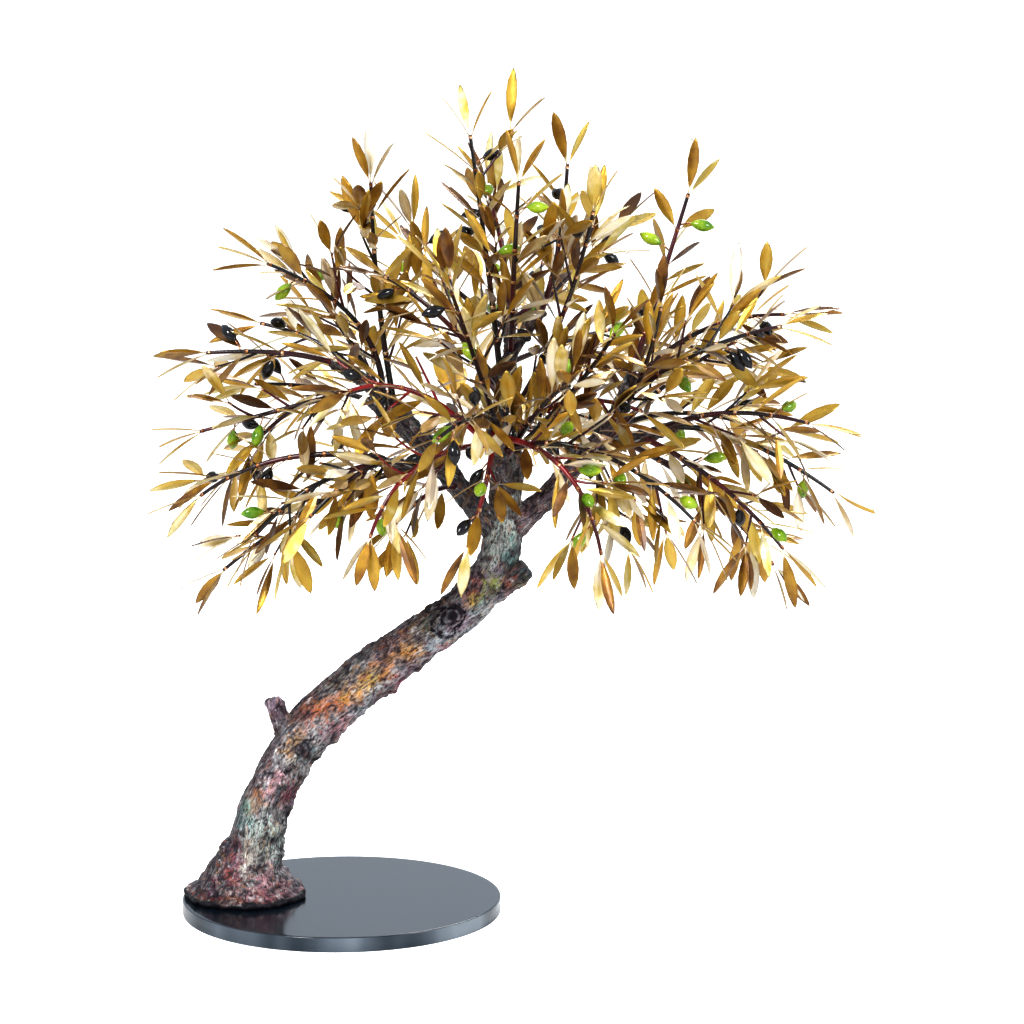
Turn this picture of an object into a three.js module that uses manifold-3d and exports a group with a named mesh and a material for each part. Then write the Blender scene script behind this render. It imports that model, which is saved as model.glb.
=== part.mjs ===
// An olive bonsai made as a table sculpture. A cast trunk with its limbs stands on a round base plate,
// held by three screws from below. Lacquered stems with brass leaves and glazed olives stand in plain
// holes in the limbs. Millimetres, +Z up, +Y away from the viewer. The origin is the centre of the
// plate's underside.

import * as THREE from 'three';
import { mergeVertices } from 'three/addons/utils/BufferGeometryUtils.js';
import Module from 'manifold-3d';

const wasm = await Module();
wasm.setup();

// Base plate
const plateDiameter = 320;
const plateThickness = 15;
const plateChamfer = 1.2;
const plateSides = 40;

// Gap left between pieces that touch, and round a stem in its hole
const contactGap = 0.3;
const socketGap = 0.45;

// Screws that hold the foot: three on a circle round the foot's centre
const footCentre = [-97, 0];
const screwCircleRadius = 32;
const screwCount = 3;
const screwSides = 8;
const screwShankRadius = 4;
const screwHeadRadius = 8;
const screwHeadHeight = 4;
const screwHeadRecess = 0.6;
const screwTop = 30;

// The trunk's spine from the foot to the fork: x, y, z and radius
const trunkSpine = [
  [-89, 0, 9, 30],
  [-89, 0, 38, 29],
  [-86, 0, 68, 28],
  [-76, 0, 109, 24.5],
  [-56, 0, 151, 23.5],
  [-26, 0, 190, 25],
  [25, 0, 236, 25],
  [78, 0, 277, 22.5],
  [124, 0, 311, 21.5],
  [154, 0, 350, 20],
  [164, 0, 390, 17],
  [166, 0, 408, 9],
];
const trunkStepsPerSpan = 3;
const trunkSides = 12;

// The flared foot round the trunk's lower end: radius and height of each ring
const footProfile = [
  [0, 8],
  [59, 8],
  [59.5, 20],
  [57, 25],
  [43, 40],
  [33, 53],
  [25, 66],
  [0, 66],
];
const footSides = 14;

// The bark's relief, also on the foot and limbs: broad swellings that wind up the casting, furrows
// that wind the other way, and lumps. Heights are shares of the radius, and each wave has its number
// round the section and its turn at each step up.
const barkWaves = [
  { height: 0.045, round: 3, climb: 0.35 },
  { height: 0.035, round: 5, climb: -0.6 },
  { height: 0.025, round: 2, climb: 1.9 },
];

// Limbs of the casting, each from a place on its parent to its tip by way of a bend. Radii shrink from
// the root to the tip.
const limbTable = [
  { name: 'left', root: [160, 0, 382], bend: [118, 4, 430], tip: [60, 12, 506], radii: [14, 8] },
  { name: 'centre', root: [164, 0, 385], bend: [180, -4, 460], tip: [158, 0, 552], radii: [14, 7] },
  { name: 'right', root: [162, 0, 385], bend: [206, 0, 414], tip: [246, 0, 470], radii: [14, 8] },
  { name: 'back', root: [162, 0, 385], bend: [156, 60, 430], tip: [166, 112, 505], radii: [13, 7] },
  { name: 'front', root: [168, -2, 430], bend: [160, -62, 465], tip: [152, -108, 512], radii: [10, 6.5] },
  { name: 'leftHigh', root: [64, 12, 500], bend: [28, -4, 540], tip: [-6, -14, 558], radii: [8, 6] },
  { name: 'leftBack', root: [92, 8, 464], bend: [62, 60, 480], tip: [28, 100, 506], radii: [8, 6] },
  { name: 'leftFront', root: [104, 6, 450], bend: [72, -46, 452], tip: [34, -82, 474], radii: [8, 6] },
  { name: 'topRight', root: [160, 0, 540], bend: [176, 6, 580], tip: [202, 10, 606], radii: [7.5, 6] },
  { name: 'rightHigh', root: [244, 0, 466], bend: [276, -14, 500], tip: [290, -20, 548], radii: [8, 6] },
  { name: 'rightOut', root: [240, 0, 460], bend: [288, -8, 480], tip: [334, 0, 492], radii: [8, 6] },
  { name: 'rightBack', root: [226, 0, 446], bend: [254, 62, 452], tip: [292, 112, 484], radii: [8, 6] },
  { name: 'backHigh', root: [164, 106, 498], bend: [172, 140, 550], tip: [168, 140, 600], radii: [7.5, 6] },
];
const limbSteps = 4;
const limbSides = 5;

// Two branches sawn off short: root, end and radius
const cutStubs = [
  { root: [-50, 0, 164], end: [-67, 0, 218], radius: 10 },
  { root: [148, -3, 322], end: [187, -9, 351], radius: 11.5 },
];
const stubSides = 7;

// The eye, a pit where a branch was lost, and a knob low on the foot's outer side
const eyeCentre = [121, -23, 307];
const eyeRadii = [7, 5, 4.5];
const knobCentre = [-114, -6, 65];
const knobRadius = 9;

// Leaves, stems and olives
const stemSides = 4;
const stemSteps = 4;
const stemRadii = [3.3, 1.7];
const leafLengths = [48, 63];
const leafWidths = [12, 15.5];
const leafThickness = 1.3;
const leafArch = 0.1;
const leafGap = 34;
const stemReach = 16;
const forkShrink = 0.85;
const longStem = 195;
const oliveLength = 24;
const oliveWidth = 13;
const stalkLength = 12;
const stalkRadius = 0.9;

// Leans from the stem's axis, turns round it and rolls about a leaf's own axis, in radians
const endLeafLean = [0.2, 0.5];
const sideLeafLean = [0.6, 1];
const leafRoll = [-0.9, 0.9];
const turnStep = 0.7;
const oliveLean = 1.1;
const oliveDroop = 0.35;

// Along a leaf, root to tip: places as shares of its length, and half widths as shares of the widest
const leafStations = [-0.04, 0.01, 0.46, 0.76, 1];
const leafSpread = [0, 0.09, 1, 0.72, 0];

// Along an olive with its stalk, root to tip: places as lengths from the root, and radii
const oliveEnd = stalkLength + oliveLength;
const oliveStations = [-0.8, 0.4, stalkLength, oliveEnd - 17, oliveEnd - 7, oliveEnd];
const oliveRadii = [0, stalkRadius, stalkRadius, oliveWidth / 2, oliveWidth / 2.2, 0];
const oliveSides = 4;

// Stems that bend clear of each other and leaves that turn clear of all other sprays keep this gap
const clearance = 0.8;
const stemMargin = 0.4;
const limbMargin = 1.1;
const bendShifts = [0, 8, -8, 16, -16, 24, -24, 32, -32, 40, -40];
const leafTries = 7;
const sampleStep = 4;

// Each spray: the limb it stands in and the place along it, the bend and the tip of its stem, and
// the olives along it, b for black and g for green. A fork is a second stem that leaves the first.
const sprayTable = [
  { name: 'left_01', limb: 'leftHigh', at: 0.95, bend: [-50, -15, 572], tip: [-113, -10, 567], olives: 'b' },
  { name: 'left_02', limb: 'leftHigh', at: 0.6, bend: [-6, 26, 576], tip: [-63, 35, 587], olives: 'b' },
  { name: 'left_03', limb: 'leftHigh', at: 0.28, bend: [46, -32, 612], tip: [-52, -30, 650], olives: 'g' },
  {
    name: 'left_04', limb: 'leftHigh', at: 0.45, bend: [-20, -48, 524], tip: [-120, -25, 494], olives: 'g',
    fork: { at: 0.5, bend: [-76, -30, 492], tip: [-98, 12, 455], olives: 'b' },
  },
  { name: 'left_05', limb: 'leftFront', at: 0.95, bend: [-62, -70, 486], tip: [-120, -60, 441], olives: 'b' },
  { name: 'left_06', limb: 'leftFront', at: 0.78, bend: [-22, -112, 464], tip: [-67, -100, 410], olives: 'g' },
  { name: 'left_07', limb: 'leftFront', at: 0.42, bend: [-10, -36, 440], tip: [-102, -20, 361], olives: '' },
  { name: 'left_08', limb: 'leftFront', at: 0.6, bend: [40, -130, 490], tip: [-11, -140, 435], olives: 'g' },
  { name: 'left_09', limb: 'left', at: 0.45, bend: [92, -60, 446], tip: [66, -78, 416], olives: 'g' },
  { name: 'left_10', limb: 'leftBack', at: 0.95, bend: [-20, 120, 520], tip: [-74, 112, 520], olives: 'b' },
  { name: 'left_13', limb: 'leftBack', at: 0.55, bend: [10, 90, 570], tip: [-36, 100, 628], olives: '' },
  { name: 'top_01', limb: 'leftHigh', at: 0.12, bend: [36, -6, 620], tip: [34, -10, 717], olives: 'b' },
  { name: 'top_02', limb: 'centre', at: 0.86, bend: [112, -66, 612], tip: [62, -72, 640], olives: 'b' },
  { name: 'top_03', limb: 'centre', at: 0.78, bend: [98, 44, 600], tip: [77, 40, 670], olives: '' },
  { name: 'top_04', limb: 'centre', at: 0.96, bend: [148, -24, 660], tip: [133, -20, 764], olives: 'bg' },
  { name: 'top_05', limb: 'topRight', at: 0.3, bend: [172, -64, 640], tip: [177, -60, 722], olives: 'g' },
  { name: 'top_06', limb: 'topRight', at: 0.95, bend: [220, 14, 650], tip: [225, 20, 733], olives: 'b' },
  { name: 'top_07', limb: 'centre', at: 0.7, bend: [228, -44, 596], tip: [247, -40, 692], olives: 'b' },
  { name: 'top_08', limb: 'topRight', at: 0.7, bend: [204, 76, 618], tip: [246, 82, 646], olives: '' },
  { name: 'top_09', limb: 'rightHigh', at: 0.95, bend: [312, -18, 620], tip: [339, -10, 707], olives: 'g' },
  { name: 'top_10', limb: 'rightHigh', at: 0.4, bend: [298, -96, 534], tip: [311, -104, 606], olives: '' },
  { name: 'right_01', limb: 'rightHigh', at: 0.82, bend: [350, 18, 602], tip: [424, 10, 602], olives: 'b' },
  { name: 'right_02', limb: 'rightHigh', at: 0.66, bend: [340, -52, 582], tip: [418, -50, 594], olives: 'b' },
  { name: 'right_03', limb: 'rightOut', at: 0.8, bend: [372, -34, 524], tip: [447, -30, 503], olives: 'g' },
  { name: 'right_04', limb: 'rightOut', at: 0.97, bend: [396, 22, 492], tip: [480, 30, 430], olives: 'g' },
  { name: 'right_05', limb: 'centre', at: 0.6, bend: [222, -70, 548], tip: [283, -70, 522], olives: 'b' },
  { name: 'right_06', limb: 'rightOut', at: 0.62, bend: [378, -48, 452], tip: [428, -40, 388], olives: 'g' },
  { name: 'right_07', limb: 'rightOut', at: 0.45, bend: [370, 54, 430], tip: [425, 50, 357], olives: '' },
  { name: 'right_08', limb: 'front', at: 0.6, bend: [250, -138, 520], tip: [337, -130, 428], olives: 'g' },
  { name: 'right_09', limb: 'front', at: 0.8, bend: [236, -180, 500], tip: [253, -176, 409], olives: 'g' },
  { name: 'right_10', limb: 'rightBack', at: 0.4, bend: [262, 50, 424], tip: [284, 60, 372], olives: 'b' },
  { name: 'right_11', limb: 'rightBack', at: 0.95, bend: [350, 130, 500], tip: [404, 120, 480], olives: 'b' },
  { name: 'right_13', limb: 'rightBack', at: 0.6, bend: [330, 70, 540], tip: [384, 90, 560], olives: '' },
  { name: 'front_01', limb: 'front', at: 0.9, bend: [154, -166, 474], tip: [134, -156, 412], olives: 'b' },
  { name: 'front_02', limb: 'front', at: 0.7, bend: [66, -176, 500], tip: [42, -176, 425], olives: 'g' },
  { name: 'front_03', limb: 'front', at: 0.5, bend: [82, -118, 566], tip: [30, -124, 548], olives: 'b' },
  { name: 'front_04', limb: 'front', at: 0.97, bend: [140, -200, 540], tip: [112, -232, 520], olives: '' },
  { name: 'front_05', limb: 'front', at: 0.4, bend: [204, -120, 540], tip: [222, -196, 556], olives: '' },
  { name: 'front_06', limb: 'centre', at: 0.4, bend: [140, -100, 560], tip: [118, -154, 630], olives: '' },
  { name: 'front_07', limb: 'centre', at: 0.5, bend: [236, -110, 540], tip: [262, -150, 590], olives: 'g' },
  { name: 'back_01', limb: 'backHigh', at: 0.95, bend: [166, 150, 650], tip: [150, 150, 704], olives: '' },
  { name: 'back_02', limb: 'backHigh', at: 0.7, bend: [110, 160, 610], tip: [70, 170, 650], olives: '' },
  { name: 'back_03', limb: 'backHigh', at: 0.8, bend: [226, 160, 620], tip: [266, 172, 660], olives: 'b' },
  { name: 'back_05', limb: 'backHigh', at: 0.4, bend: [230, 190, 560], tip: [282, 214, 566], olives: '' },
  { name: 'back_06', limb: 'backHigh', at: 0.6, bend: [176, 220, 600], tip: [180, 270, 600], olives: 'b' },
  { name: 'back_07', limb: 'back', at: 0.85, bend: [120, 190, 490], tip: [90, 232, 450], olives: '' },
  { name: 'back_08', limb: 'back', at: 0.75, bend: [216, 180, 480], tip: [246, 230, 448], olives: 'b' },
];

// Finishes
const blackLacquer = new THREE.MeshStandardMaterial({ color: 0x171d22, roughness: 0.08, metalness: 0.1 });
const patina = new THREE.MeshStandardMaterial({ color: 0x84685f, roughness: 0.45, metalness: 0.8 });
const brass = new THREE.MeshStandardMaterial({ color: 0xb9822c, roughness: 0.35, metalness: 0.9 });
const steel = new THREE.MeshStandardMaterial({ color: 0x9a9da0, roughness: 0.35, metalness: 1 });

const bonsai = new THREE.Group();

function vector(list) {
  return new THREE.Vector3(list[0], list[1], list[2]);
}

function mix(ends, share) {
  return ends[0] + (ends[1] - ends[0]) * share;
}

// The same draws from 0 to 1 each time, for one seed
function seededDraws(seed) {
  let state = Math.imul(seed + 1, 2654435761) >>> 0;
  return () => {
    state = (Math.imul(state, 1664525) + 1013904223) >>> 0;
    return state / 4294967296;
  };
}

// A closed solid from a geometry whose vertices are joined and then moved by place()
function shaped(geometry, place) {
  geometry.deleteAttribute('normal');
  geometry.deleteAttribute('uv');
  const closed = mergeVertices(geometry);
  const places = closed.getAttribute('position');
  const spot = new THREE.Vector3();
  for (let i = 0; i < places.count; i += 1) {
    spot.fromBufferAttribute(places, i);
    place(spot);
    places.setXYZ(i, spot.x, spot.y, spot.z);
  }
  return new wasm.Manifold(new wasm.Mesh({
    numProp: 3,
    vertProperties: new Float32Array(places.array),
    triVerts: new Uint32Array(closed.index.array),
  }));
}

function addPiece(name, body, finish) {
  const { vertProperties, triVerts } = body.getMesh();
  const geometry = new THREE.BufferGeometry();
  geometry.setAttribute('position', new THREE.BufferAttribute(vertProperties, 3));
  geometry.setIndex(new THREE.BufferAttribute(triVerts, 1));
  const piece = new THREE.Mesh(geometry, finish);
  piece.name = name;
  bonsai.add(piece);
}

// A vector across an axis: as near to the wished one as it can be, or to the spare one if they align
function acrossAxis(axis, wished, spare) {
  const base = Math.abs(axis.dot(wished)) > 0.95 ? spare : wished;
  return base.clone().addScaledVector(axis, -axis.dot(base)).normalize();
}

const alongX = new THREE.Vector3(1, 0, 0);
const alongY = new THREE.Vector3(0, 1, 0);
const alongZ = new THREE.Vector3(0, 0, 1);

// The direction and the two cross directions at each point of a line, turned as little as can be
function framesAlong(line) {
  let side = null;
  return line.map((spot, i) => {
    const before = line[Math.max(i - 1, 0)];
    const after = line[Math.min(i + 1, line.length - 1)];
    const axis = after.clone().sub(before).normalize();
    side = acrossAxis(axis, side ?? alongY, alongX);
    return { side, out: side.clone().cross(axis) };
  });
}

// A closed bar along a line of points. radiusAt gives its radius at a step and an angle round it.
function bar(line, sides, radiusAt) {
  const steps = line.length - 1;
  const frames = framesAlong(line);
  return shaped(new THREE.CylinderGeometry(1, 1, 1, sides, steps), (spot) => {
    const step = Math.round((spot.y + 0.5) * steps);
    const radius = radiusAt(step, Math.atan2(spot.z, spot.x));
    const sideways = spot.x * radius;
    const outwards = spot.z * radius;
    spot.copy(line[step]);
    spot.addScaledVector(frames[step].side, sideways);
    spot.addScaledVector(frames[step].out, outwards);
  });
}

function turned(profile, sides, x, y) {
  const outline = profile.map(([radius, height]) => new THREE.Vector2(radius, height));
  return shaped(new THREE.LatheGeometry(outline, sides), (spot) => {
    spot.set(x + spot.x, y - spot.z, spot.y);
  });
}

// What is placed so far, as balls along each piece, so that sprays keep clear of one another
const placedBalls = [];

function ballsClear(balls, owner) {
  return balls.every((ball) => placedBalls.every((other) => {
    if (other.owner === owner) {
      return true;
    }
    if (ball.inSocket && other.owner === 'trunk') {
      return true;
    }
    return ball.spot.distanceTo(other.spot) > ball.radius + other.radius + clearance;
  }));
}

function place(balls, owner) {
  balls.forEach((ball) => placedBalls.push({ ...ball, owner }));
}

function curveBalls(curve, radiusAt, socketShare) {
  const length = curve.v0.distanceTo(curve.v1) + curve.v1.distanceTo(curve.v2);
  const count = Math.ceil(length / sampleStep);
  const balls = [];
  for (let i = 0; i <= count; i += 1) {
    const spot = curve.getPoint(i / count);
    balls.push({ spot, radius: radiusAt(i / count), inSocket: i / count < socketShare });
  }
  return balls;
}

// Trunk and limbs

const limbs = new Map(limbTable.map((row) => [row.name, {
  curve: new THREE.QuadraticBezierCurve3(vector(row.root), vector(row.bend), vector(row.tip)),
  radii: row.radii,
}]));

function trunkLine() {
  const curve = new THREE.CatmullRomCurve3(trunkSpine.map(vector), false, 'catmullrom', 0.5);
  return curve.getPoints((trunkSpine.length - 1) * trunkStepsPerSpan);
}

function trunkRadii() {
  const heights = trunkSpine.map((row) => new THREE.Vector3(row[3], 0, 0));
  const curve = new THREE.CatmullRomCurve3(heights, false, 'catmullrom', 0.5);
  return curve.getPoints((trunkSpine.length - 1) * trunkStepsPerSpan).map((spot) => spot.x);
}

function barkRelief(step, angle) {
  let relief = 1;
  for (const wave of barkWaves) {
    relief += wave.height * Math.sin(wave.round * angle + wave.climb * step);
  }
  return relief;
}

function castTrunk() {
  const radii = trunkRadii();
  let casting = bar(trunkLine(), trunkSides, (step, angle) => radii[step] * barkRelief(step, angle));
  casting = casting.add(turned(footProfile, footSides, footCentre[0], footCentre[1]));
  for (const stub of cutStubs) {
    const line = [vector(stub.root), vector(stub.root).lerp(vector(stub.end), 0.5), vector(stub.end)];
    casting = casting.add(bar(line, stubSides, (step, angle) => stub.radius * barkRelief(step, angle)));
  }
  for (const limb of limbs.values()) {
    const line = limb.curve.getPoints(limbSteps);
    const radiusAt = (step, angle) => mix(limb.radii, step / limbSteps) * barkRelief(step, angle);
    casting = casting.add(bar(line, limbSides, radiusAt));
  }
  const knob = shaped(new THREE.IcosahedronGeometry(knobRadius, 0), (spot) => spot.add(vector(knobCentre)));
  const underFoot = shaped(new THREE.BoxGeometry(plateDiameter, plateDiameter, plateThickness), (spot) => {
    spot.z += plateThickness / 2 + contactGap;
  });
  const eye = shaped(new THREE.SphereGeometry(1, 6, 4), (spot) => {
    spot.multiply(vector(eyeRadii)).add(vector(eyeCentre));
  });
  return casting.add(knob).subtract(eye).subtract(underFoot);
}

// Stems, leaves and olives

// One stem: its curve is bent towards or away from the viewer until it clears what is placed
function growStem(root, row, owner, radii, socketShare) {
  for (const shift of bendShifts) {
    const bend = vector(row.bend).add(new THREE.Vector3(0, shift, 0));
    const reach = vector(row.tip).sub(bend).setLength(stemReach);
    const curve = new THREE.QuadraticBezierCurve3(root, bend, vector(row.tip).add(reach));
    const balls = curveBalls(curve, (share) => mix(radii, share) + stemMargin, socketShare);
    if (ballsClear(balls, owner)) {
      place(balls, owner);
      return { curve, radii, olives: row.olives };
    }
  }
  throw new Error(`${owner} finds no clear way`);
}

// A direction that leaves the stem at a lean from its axis and a turn round it
function leaving(curve, share, lean, turn) {
  const axis = curve.getTangent(share);
  const side = acrossAxis(axis, alongZ, alongY).cross(axis);
  const top = axis.clone().cross(side);
  const away = side.multiplyScalar(Math.cos(turn)).addScaledVector(top, Math.sin(turn));
  return axis.multiplyScalar(Math.cos(lean)).addScaledVector(away, Math.sin(lean)).normalize();
}

function leafSpot(leaf, share) {
  const spot = leaf.root.clone().addScaledVector(leaf.heading, share * leaf.length);
  return spot.addScaledVector(leaf.face, -leafArch * leaf.length * share * share);
}

function leafBalls(leaf) {
  const count = Math.ceil(leaf.length / sampleStep);
  const balls = [];
  for (let i = 1; i <= count; i += 1) {
    const share = i / count;
    const spread = 0.2 + 0.8 * Math.sin(Math.PI * share);
    balls.push({ spot: leafSpot(leaf, share), radius: spread * leaf.width / 2 });
  }
  return balls;
}

// A lance-shaped blade with a flat face and a keel beneath, in three long faces
function leafBody(leaf) {
  const edge = leaf.face.clone().cross(leaf.heading);
  return shaped(new THREE.SphereGeometry(1, 3, leafStations.length - 1), (spot) => {
    const level = Math.round((1 - Math.acos(spot.y) / Math.PI) * (leafStations.length - 1));
    const spread = leafSpread[level];
    const sideways = (spot.z / Math.sin(Math.PI / 3)) * spread * (leaf.width / 2);
    const isPole = spread === 0;
    const isKeel = spot.x < 0;
    const depth = isKeel ? -leafThickness * 0.8 : leafThickness * 0.2;
    spot.copy(leafSpot(leaf, leafStations[level]));
    if (!isPole) {
      const ringRadius = Math.sin(Math.PI * level / (leafStations.length - 1));
      spot.addScaledVector(edge, sideways / ringRadius).addScaledVector(leaf.face, depth);
    }
  });
}

function makeLeaf(stem, share, lean, turn, draw) {
  const heading = leaving(stem.curve, share, lean, turn);
  const face = acrossAxis(heading, alongZ, alongY);
  face.applyAxisAngle(heading, mix(leafRoll, draw()));
  return {
    root: stem.curve.getPoint(share),
    heading,
    face,
    length: mix(leafLengths, draw()),
    width: mix(leafWidths, draw()),
  };
}

// A leaf is turned round its stem until it clears the other sprays, or it is left out
function growLeaf(stem, share, lean, turn, owner, draw) {
  for (let attempt = 0; attempt < leafTries; attempt += 1) {
    const leaf = makeLeaf(stem, share, lean, turn + attempt * turnStep, draw);
    const balls = leafBalls(leaf);
    if (ballsClear(balls, owner)) {
      place(balls, owner);
      return [leaf];
    }
  }
  return [];
}

function growOlive(stem, share, owner, draw) {
  for (let attempt = 0; attempt < leafTries; attempt += 1) {
    const heading = leaving(stem.curve, share, oliveLean, draw() * 2 * Math.PI);
    const axis = heading.clone().addScaledVector(alongZ, -oliveDroop).normalize();
    const root = stem.curve.getPoint(share);
    const middle = root.clone().addScaledVector(heading, stalkLength).addScaledVector(axis, oliveLength / 2);
    const balls = [-0.3, 0, 0.3].map((along) => ({
      spot: middle.clone().addScaledVector(axis, along * oliveLength),
      radius: oliveWidth / 2,
    }));
    if (ballsClear(balls, owner)) {
      place(balls, owner);
      return [{ root, heading, axis }];
    }
  }
  return [];
}

// A drupe and its stalk in one: the stalk comes out of the stem and the drupe hangs from its end
function oliveBody(olive) {
  const side = acrossAxis(olive.axis, alongZ, alongY);
  const out = side.clone().cross(olive.axis);
  const steps = oliveStations.length - 1;
  return shaped(new THREE.SphereGeometry(1, oliveSides, steps), (spot) => {
    const level = Math.round((1 - Math.acos(spot.y) / Math.PI) * steps);
    const turn = Math.atan2(spot.z, spot.x);
    const along = oliveStations[level];
    const radius = oliveRadii[level];
    spot.copy(olive.root);
    spot.addScaledVector(olive.heading, Math.min(along, stalkLength));
    spot.addScaledVector(olive.axis, Math.max(along - stalkLength, 0));
    spot.addScaledVector(side, Math.cos(turn) * radius).addScaledVector(out, Math.sin(turn) * radius);
  });
}

// Leaves stand in pairs, each pair a quarter turn from the last, and in threes at the tip
function dressStem(stem, owner, draw) {
  const length = stem.curve.getLength();
  const pairs = length > longStem ? 2 : 1;
  const firstTurn = draw() * Math.PI;
  const leaves = [];
  const olives = [];
  const tipShare = 1 - 2.5 / length;
  for (let i = 0; i < 3; i += 1) {
    const turn = firstTurn + (i * 2 * Math.PI) / 3;
    leaves.push(...growLeaf(stem, tipShare, mix(endLeafLean, draw()), turn, owner, draw));
  }
  for (let pair = 1; pair <= pairs; pair += 1) {
    const share = 1 - (pair * leafGap) / length;
    for (const half of pair === 1 ? [0, Math.PI] : [0]) {
      const turn = firstTurn + (pair * Math.PI) / 2 + half;
      leaves.push(...growLeaf(stem, share, mix(sideLeafLean, draw()), turn, owner, draw));
    }
  }
  stem.olives.split('').forEach((colour, i) => {
    const share = 1 - ((i + 0.85) * leafGap) / length;
    olives.push(...growOlive(stem, share, owner, draw));
  });
  return { leaves, olives };
}

function stemBody(stem) {
  const line = stem.curve.getPoints(stemSteps);
  return bar(line, stemSides, (step) => mix(stem.radii, step / stemSteps));
}

// The plain hole that a stem stands in runs along the stem's first stretch
function socketBody(stem) {
  const line = stem.curve.getPoints(stemSteps).slice(0, 2);
  const start = line[0].clone().sub(line[1]).setLength(contactGap).add(line[0]);
  return bar([start, line[1]], stemSides, () => stem.radii[0] + socketGap);
}

// The round base plate with a small chamfer all round, drilled and countersunk from below
const plateRadius = plateDiameter / 2;
let plate = turned([
  [0, 0],
  [plateRadius - plateChamfer, 0],
  [plateRadius, plateChamfer],
  [plateRadius, plateThickness - plateChamfer],
  [plateRadius - plateChamfer, plateThickness],
  [0, plateThickness],
], plateSides, 0, 0);

limbs.forEach((limb) => {
  place(curveBalls(limb.curve, (share) => mix(limb.radii, share) * limbMargin, 0), 'trunk');
});
trunkLine().forEach((spot, step) => {
  placedBalls.push({ spot, radius: trunkRadii()[step] * limbMargin, owner: 'trunk' });
});

let trunk = castTrunk();

for (let i = 0; i < screwCount; i += 1) {
  const angle = (i * 2 * Math.PI) / screwCount;
  const x = footCentre[0] + screwCircleRadius * Math.cos(angle);
  const y = footCentre[1] + screwCircleRadius * Math.sin(angle);
  const headTop = screwHeadRecess + screwHeadHeight;
  const screw = turned([
    [0, screwHeadRecess],
    [screwHeadRadius, screwHeadRecess],
    [screwShankRadius, headTop],
    [screwShankRadius, screwTop],
    [0, screwTop],
  ], screwSides, x, y);
  const bore = turned([
    [0, -screwHeadRecess],
    [screwHeadRadius + contactGap + 2 * screwHeadRecess, -screwHeadRecess],
    [screwShankRadius + 2 * contactGap, headTop],
    [screwShankRadius + 2 * contactGap, screwTop + contactGap],
    [0, screwTop + contactGap],
  ], screwSides, x, y);
  plate = plate.subtract(bore);
  trunk = trunk.subtract(bore);
  addPiece(`foot_screw_${i + 1}`, screw, steel);
}

// All stems are laid first, then each is dressed with its leaves and olives
const sprays = sprayTable.map((row) => {
  const root = limbs.get(row.limb).curve.getPoint(row.at);
  const stems = [growStem(root, row, row.name, stemRadii, 1 / stemSteps)];
  if (row.fork) {
    const start = stems[0].curve.getPoint(row.fork.at);
    const thick = mix(stemRadii, row.fork.at) * forkShrink;
    stems.push(growStem(start, row.fork, row.name, [thick, stemRadii[1]], 0));
  }
  return { name: row.name, stems };
});

sprays.forEach((spray, index) => {
  const draw = seededDraws(index);
  let body = stemBody(spray.stems[0]);
  for (const stem of spray.stems) {
    const { leaves, olives } = dressStem(stem, spray.name, draw);
    body = body.add(stemBody(stem));
    leaves.forEach((leaf) => {
      body = body.add(leafBody(leaf));
    });
    olives.forEach((olive) => {
      body = body.add(oliveBody(olive));
    });
  }
  trunk = trunk.subtract(socketBody(spray.stems[0]));
  addPiece(`spray_${spray.name}`, body, brass);
});

addPiece('base_plate', plate, blackLacquer);
addPiece('trunk', trunk, patina);

export default bonsai;
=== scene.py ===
import math

import bmesh
import bpy
import numpy as np
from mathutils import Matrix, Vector, noise


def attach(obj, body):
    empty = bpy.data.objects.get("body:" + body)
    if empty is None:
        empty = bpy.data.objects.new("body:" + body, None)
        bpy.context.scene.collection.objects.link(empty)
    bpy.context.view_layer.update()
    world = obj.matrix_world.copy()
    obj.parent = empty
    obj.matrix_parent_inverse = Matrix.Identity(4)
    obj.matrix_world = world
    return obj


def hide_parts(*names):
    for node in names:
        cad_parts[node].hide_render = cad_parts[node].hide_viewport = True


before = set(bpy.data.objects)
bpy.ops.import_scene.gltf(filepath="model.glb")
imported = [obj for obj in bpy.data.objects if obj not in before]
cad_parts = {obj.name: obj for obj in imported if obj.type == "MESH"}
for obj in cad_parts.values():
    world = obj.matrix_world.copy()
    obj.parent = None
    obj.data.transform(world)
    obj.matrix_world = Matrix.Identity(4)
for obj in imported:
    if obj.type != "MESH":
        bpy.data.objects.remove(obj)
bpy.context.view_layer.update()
MM = 0.001


# THE BASE PLATE
# A steel disc turned on a lathe, 320 mm across and 15 mm thick, with its edges rounded over. It is
# sprayed slate black under a clear gloss coat, and drilled and countersunk for the foot's screws.

PLATE_RADIUS = 160
PLATE_THICKNESS = 15
PLATE_EDGE = 1.2
PLATE_SIDES = 180
FOOT_CENTRE = (-97, 0)
SCREW_CIRCLE = 32
SCREW_COUNT = 3
SCREW_HEAD = 8
SCREW_SHANK = 4
SCREW_HEAD_TOP = 4.6
SCREW_TOP = 30
BORE_SIDES = 32
SCREW_SIDES = 24
CREASE_ANGLE = math.radians(35)


def finished(name, mesh, *materials):
    """A piece of the object at the origin, with its place in its mesh."""
    mesh.name = name
    for material in materials:
        mesh.materials.append(material)
    piece = bpy.data.objects.new(name, mesh)
    bpy.context.scene.collection.objects.link(piece)
    return piece


def baked(piece):
    """The piece with its modifiers worked into a plain mesh."""
    state = bpy.context.evaluated_depsgraph_get()
    mesh = bpy.data.meshes.new_from_object(
        piece.evaluated_get(state), preserve_all_data_layers=True, depsgraph=state)
    piece.modifiers.clear()
    piece.data = mesh
    mesh.name = piece.name
    return piece


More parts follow.
